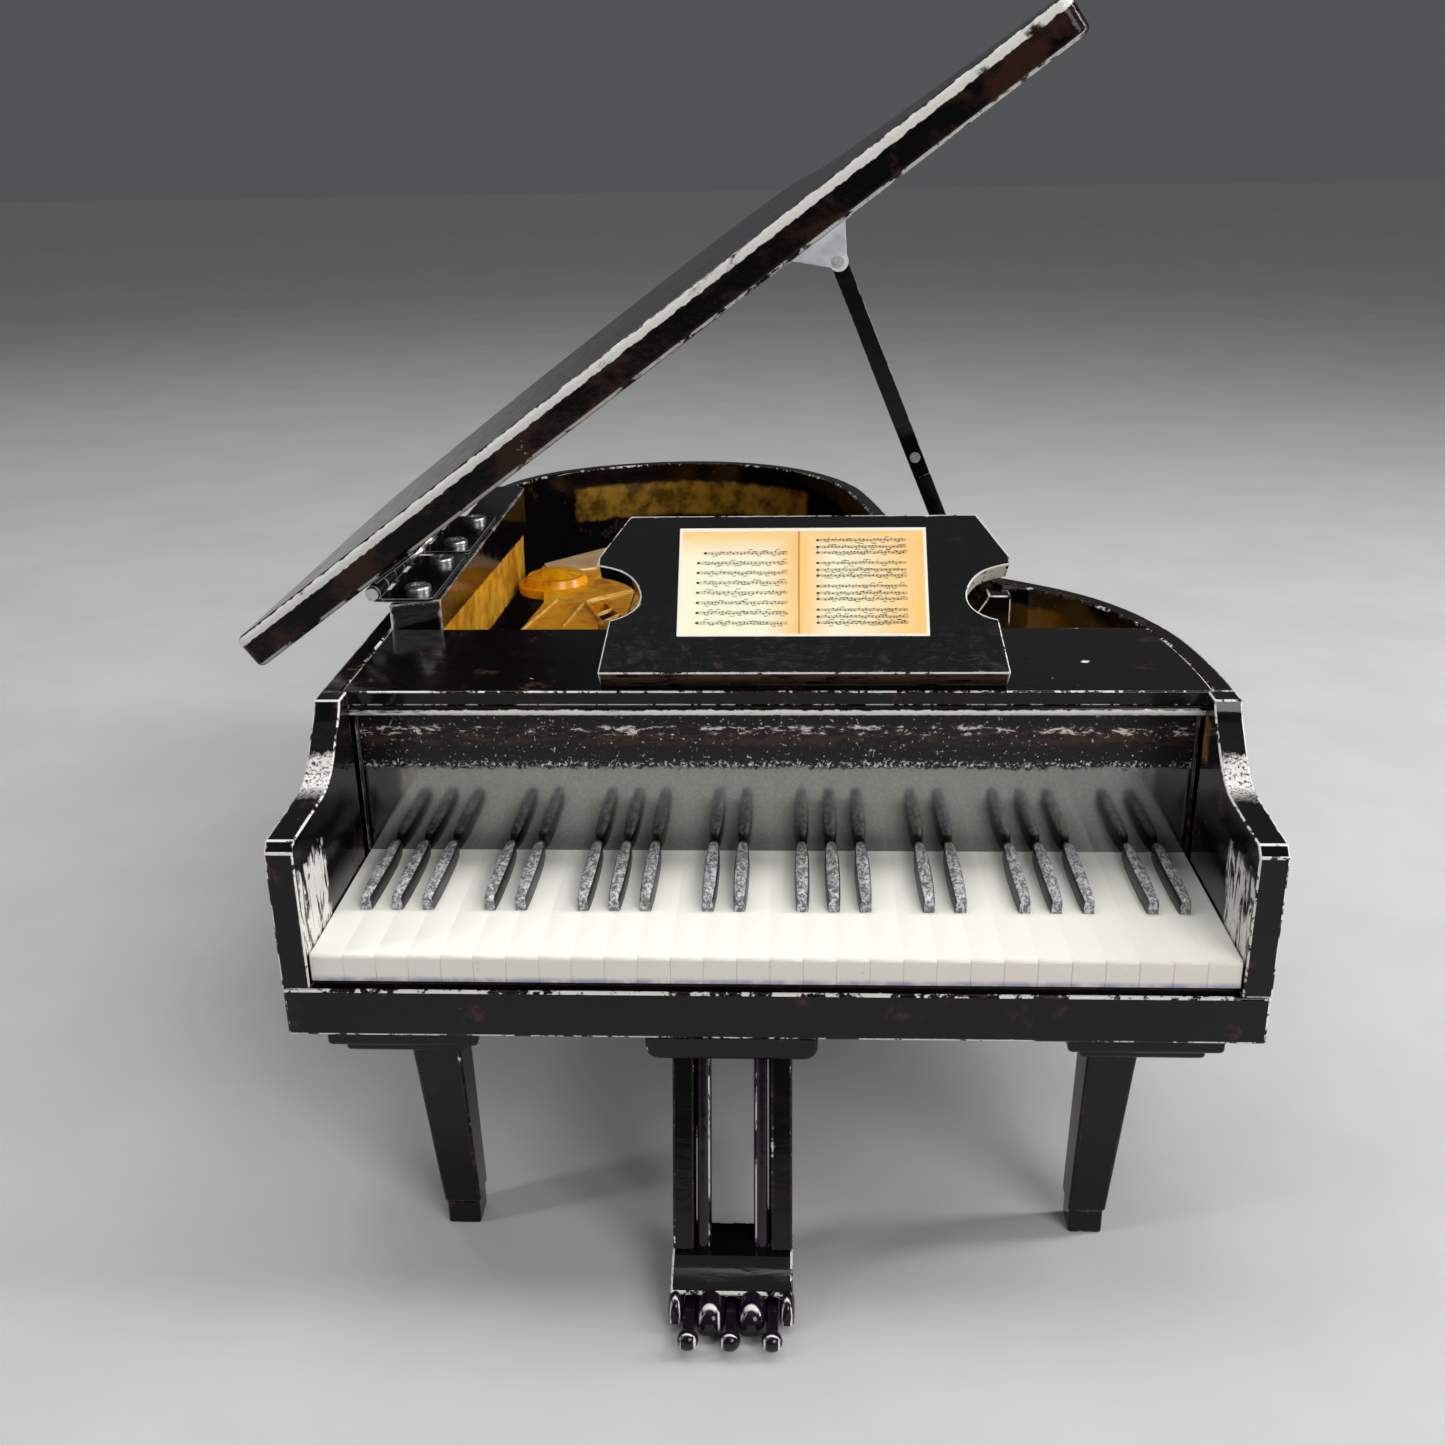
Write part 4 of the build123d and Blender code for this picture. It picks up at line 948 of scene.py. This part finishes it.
def lid_top_highlight(s):
    """The rounded upper front edge of the lid, with a long painted highlight in primer colour."""
    y = s.axes()[1]
    line = ragged(s, lid_height(s), LID_TOP - 1.45, LID_TOP - 0.17, 0.08, 1.4, 0.8, 18)
    gaps = s.step(s.noise(3.0, 5, 0.65, (0.3, 1, 0.3), 17), 0.34, 0.42)
    return both(s, line, gaps, s.step(y, CASE_Y + 55.6, CASE_Y + 55.2))


# The pale line along the lid's upper front edge is a painted highlight.
lid_paint = lacquer("lid_lacquer", 0.5, 0.35, 1.0, 12.0, patches=(
    (lid_front_brown, (0.030, 0.013, 0.009, 1)), (lid_top_highlight, PRIMER),
    (lid_low_wear, (0.48, 0.46, 0.44, 1))), peel=2.0, specular=0.15)
softened("lid_board", ["lid"], "lid", lid_paint, 0.1, 1, 50)

hinge_paint = chipped_hinge()
for body in ("case", "lid"):
    for node in (f"front_hinge_{body}_leaf", f"rear_hinge_{body}_leaf"):
        softened(node + "_plate", [node], body, hinge_paint, 0.08)

zinc = plain("zinc", (0.66, 0.66, 0.68, 1), (0.92, 0.92, 0.94, 1), 0.7, 0.28, 0.45, 0.3, 0.03, Metallic=1.0)
softened("case_screws", ["case_hinge_screws"], "case", zinc, 0.06)
softened("lid_screws", ["lid_hinge_screws"], "lid", zinc, 0.06)

# --- lid prop -----------------------------------------------------------------------------
clip_white = plain("clip_white", (0.66, 0.70, 0.76, 1), (0.86, 0.88, 0.92, 1), 2.0, 0.35, 0.5, 0.3, 0.08)
softened("clip", ["prop_clip"], "lid", clip_white, 0.18, 3)
# The prop's pale edges are partly chips and partly a painted highlight line.
prop_paint = lacquer("prop_lacquer", 0.7, 0.45, 0.35, 13.0, (1, 1, 0.3))
black_part("prop_block", "prop_seat", prop_paint, 0.2)
softened("prop_upper", ["prop_rod"], "prop", prop_paint, 0.25, 3)
softened("prop_lower", ["prop_lower_piece"], "prop",
         lacquer("prop_lower_lacquer", 0.45, 0.8, 0.35, 14.0, (1, 1, 0.3)), 0.25, 3)

# --- remaining CAD pieces -----------------------------------------------------------------
finishes = {
    "sheet_music": aged_paper(), "strings": wire, "hinge_pins": zinc, "prop_rivet": zinc,
    # The lyre rods and pedals carry painted highlights.
    "prop_pivot_pin": zinc, "lyre_left_rod": highlit_black, "lyre_right_rod": highlit_black,
    "left_pedal": highlit_black, "middle_pedal": highlit_black, "right_pedal": highlit_black,
}
for node, material in finishes.items():
    repaint(node, material)

# --- stage, light and camera --------------------------------------------------------------
bpy.ops.mesh.primitive_plane_add(size=8.0, location=(0, 0, 0))
floor = bpy.context.object
floor.name = "floor"
floor.data.materials.append(plain(
    "floor_paper", (0.50, 0.50, 0.495, 1), (0.54, 0.54, 0.535, 1), 40.0, 0.75, 0.9, 0.05, 0.1))

world = bpy.data.worlds.new("studio")
bpy.context.scene.world = world
world.use_nodes = True
world.node_tree.nodes["Background"].inputs["Color"].default_value = (0.95, 0.97, 1.0, 1)
world.node_tree.nodes["Background"].inputs["Strength"].default_value = 0.09
bpy.context.scene.view_settings.view_transform = "Standard"


def softbox(name, place, aim, size, power, colour=(1, 1, 1)):
    """A rectangular light at place that faces aim; size in metres, power in watts."""
    light = bpy.data.lights.new(name, "AREA")
    light.shape = "RECTANGLE"
    light.size, light.size_y = size
    light.energy = power
    light.color = colour
    lamp = bpy.data.objects.new(name, light)
    bpy.context.scene.collection.objects.link(lamp)
    lamp.location = place
    lamp.rotation_euler = (Vector(aim) - Vector(place)).to_track_quat("-Z", "Y").to_euler()


middle = (CENTRE_X, 0.0, 0.06)
softbox("overhead", (0.02, 0.10, 0.60), middle, (0.60, 0.30), 1.7)
softbox("front_fill", (0.34, -0.55, 0.42), middle, (0.35, 0.30), 2.4, (1.0, 0.99, 0.97))
softbox("strip_left", (-0.50, -0.25, 0.34), middle, (0.05, 0.50), 0.9)
softbox("strip_right", (0.52, 0.00, 0.34), middle, (0.08, 0.50), 2.4)
softbox("back_fill", (-0.50, 0.50, 0.62), middle, (0.25, 0.25), 0.8, (0.97, 0.98, 1.0))

haze = bpy.data.lights.new("haze", "SUN")
haze.energy = 0.28
haze.angle = math.radians(60)
sky = bpy.data.objects.new("haze", haze)
bpy.context.scene.collection.objects.link(sky)

# The view: from in front and above, tilted down and turned a little to the bass side.
YAW, PITCH, ROLL = math.radians(-2.86), math.radians(21.30), math.radians(-1.02)
forward = Vector((math.sin(YAW) * math.cos(PITCH), math.cos(YAW) * math.cos(PITCH), -math.sin(PITCH)))
level = Vector((math.cos(YAW), -math.sin(YAW), 0))
upright = level.cross(forward)
right = level * math.cos(ROLL) + upright * math.sin(ROLL)
up = -level * math.sin(ROLL) + upright * math.cos(ROLL)
eye = at(2.76, -158.2, 137.6)
camera_data = bpy.data.cameras.new("camera")
camera_data.sensor_width = 36.0
camera_data.lens = 37.52
camera_data.clip_start = 0.01
camera = bpy.data.objects.new("camera", camera_data)
bpy.context.scene.collection.objects.link(camera)
turn = Matrix((right, up, -forward)).transposed()
camera.matrix_world = Matrix.Translation(eye) @ turn.to_4x4()
bpy.context.scene.camera = camera
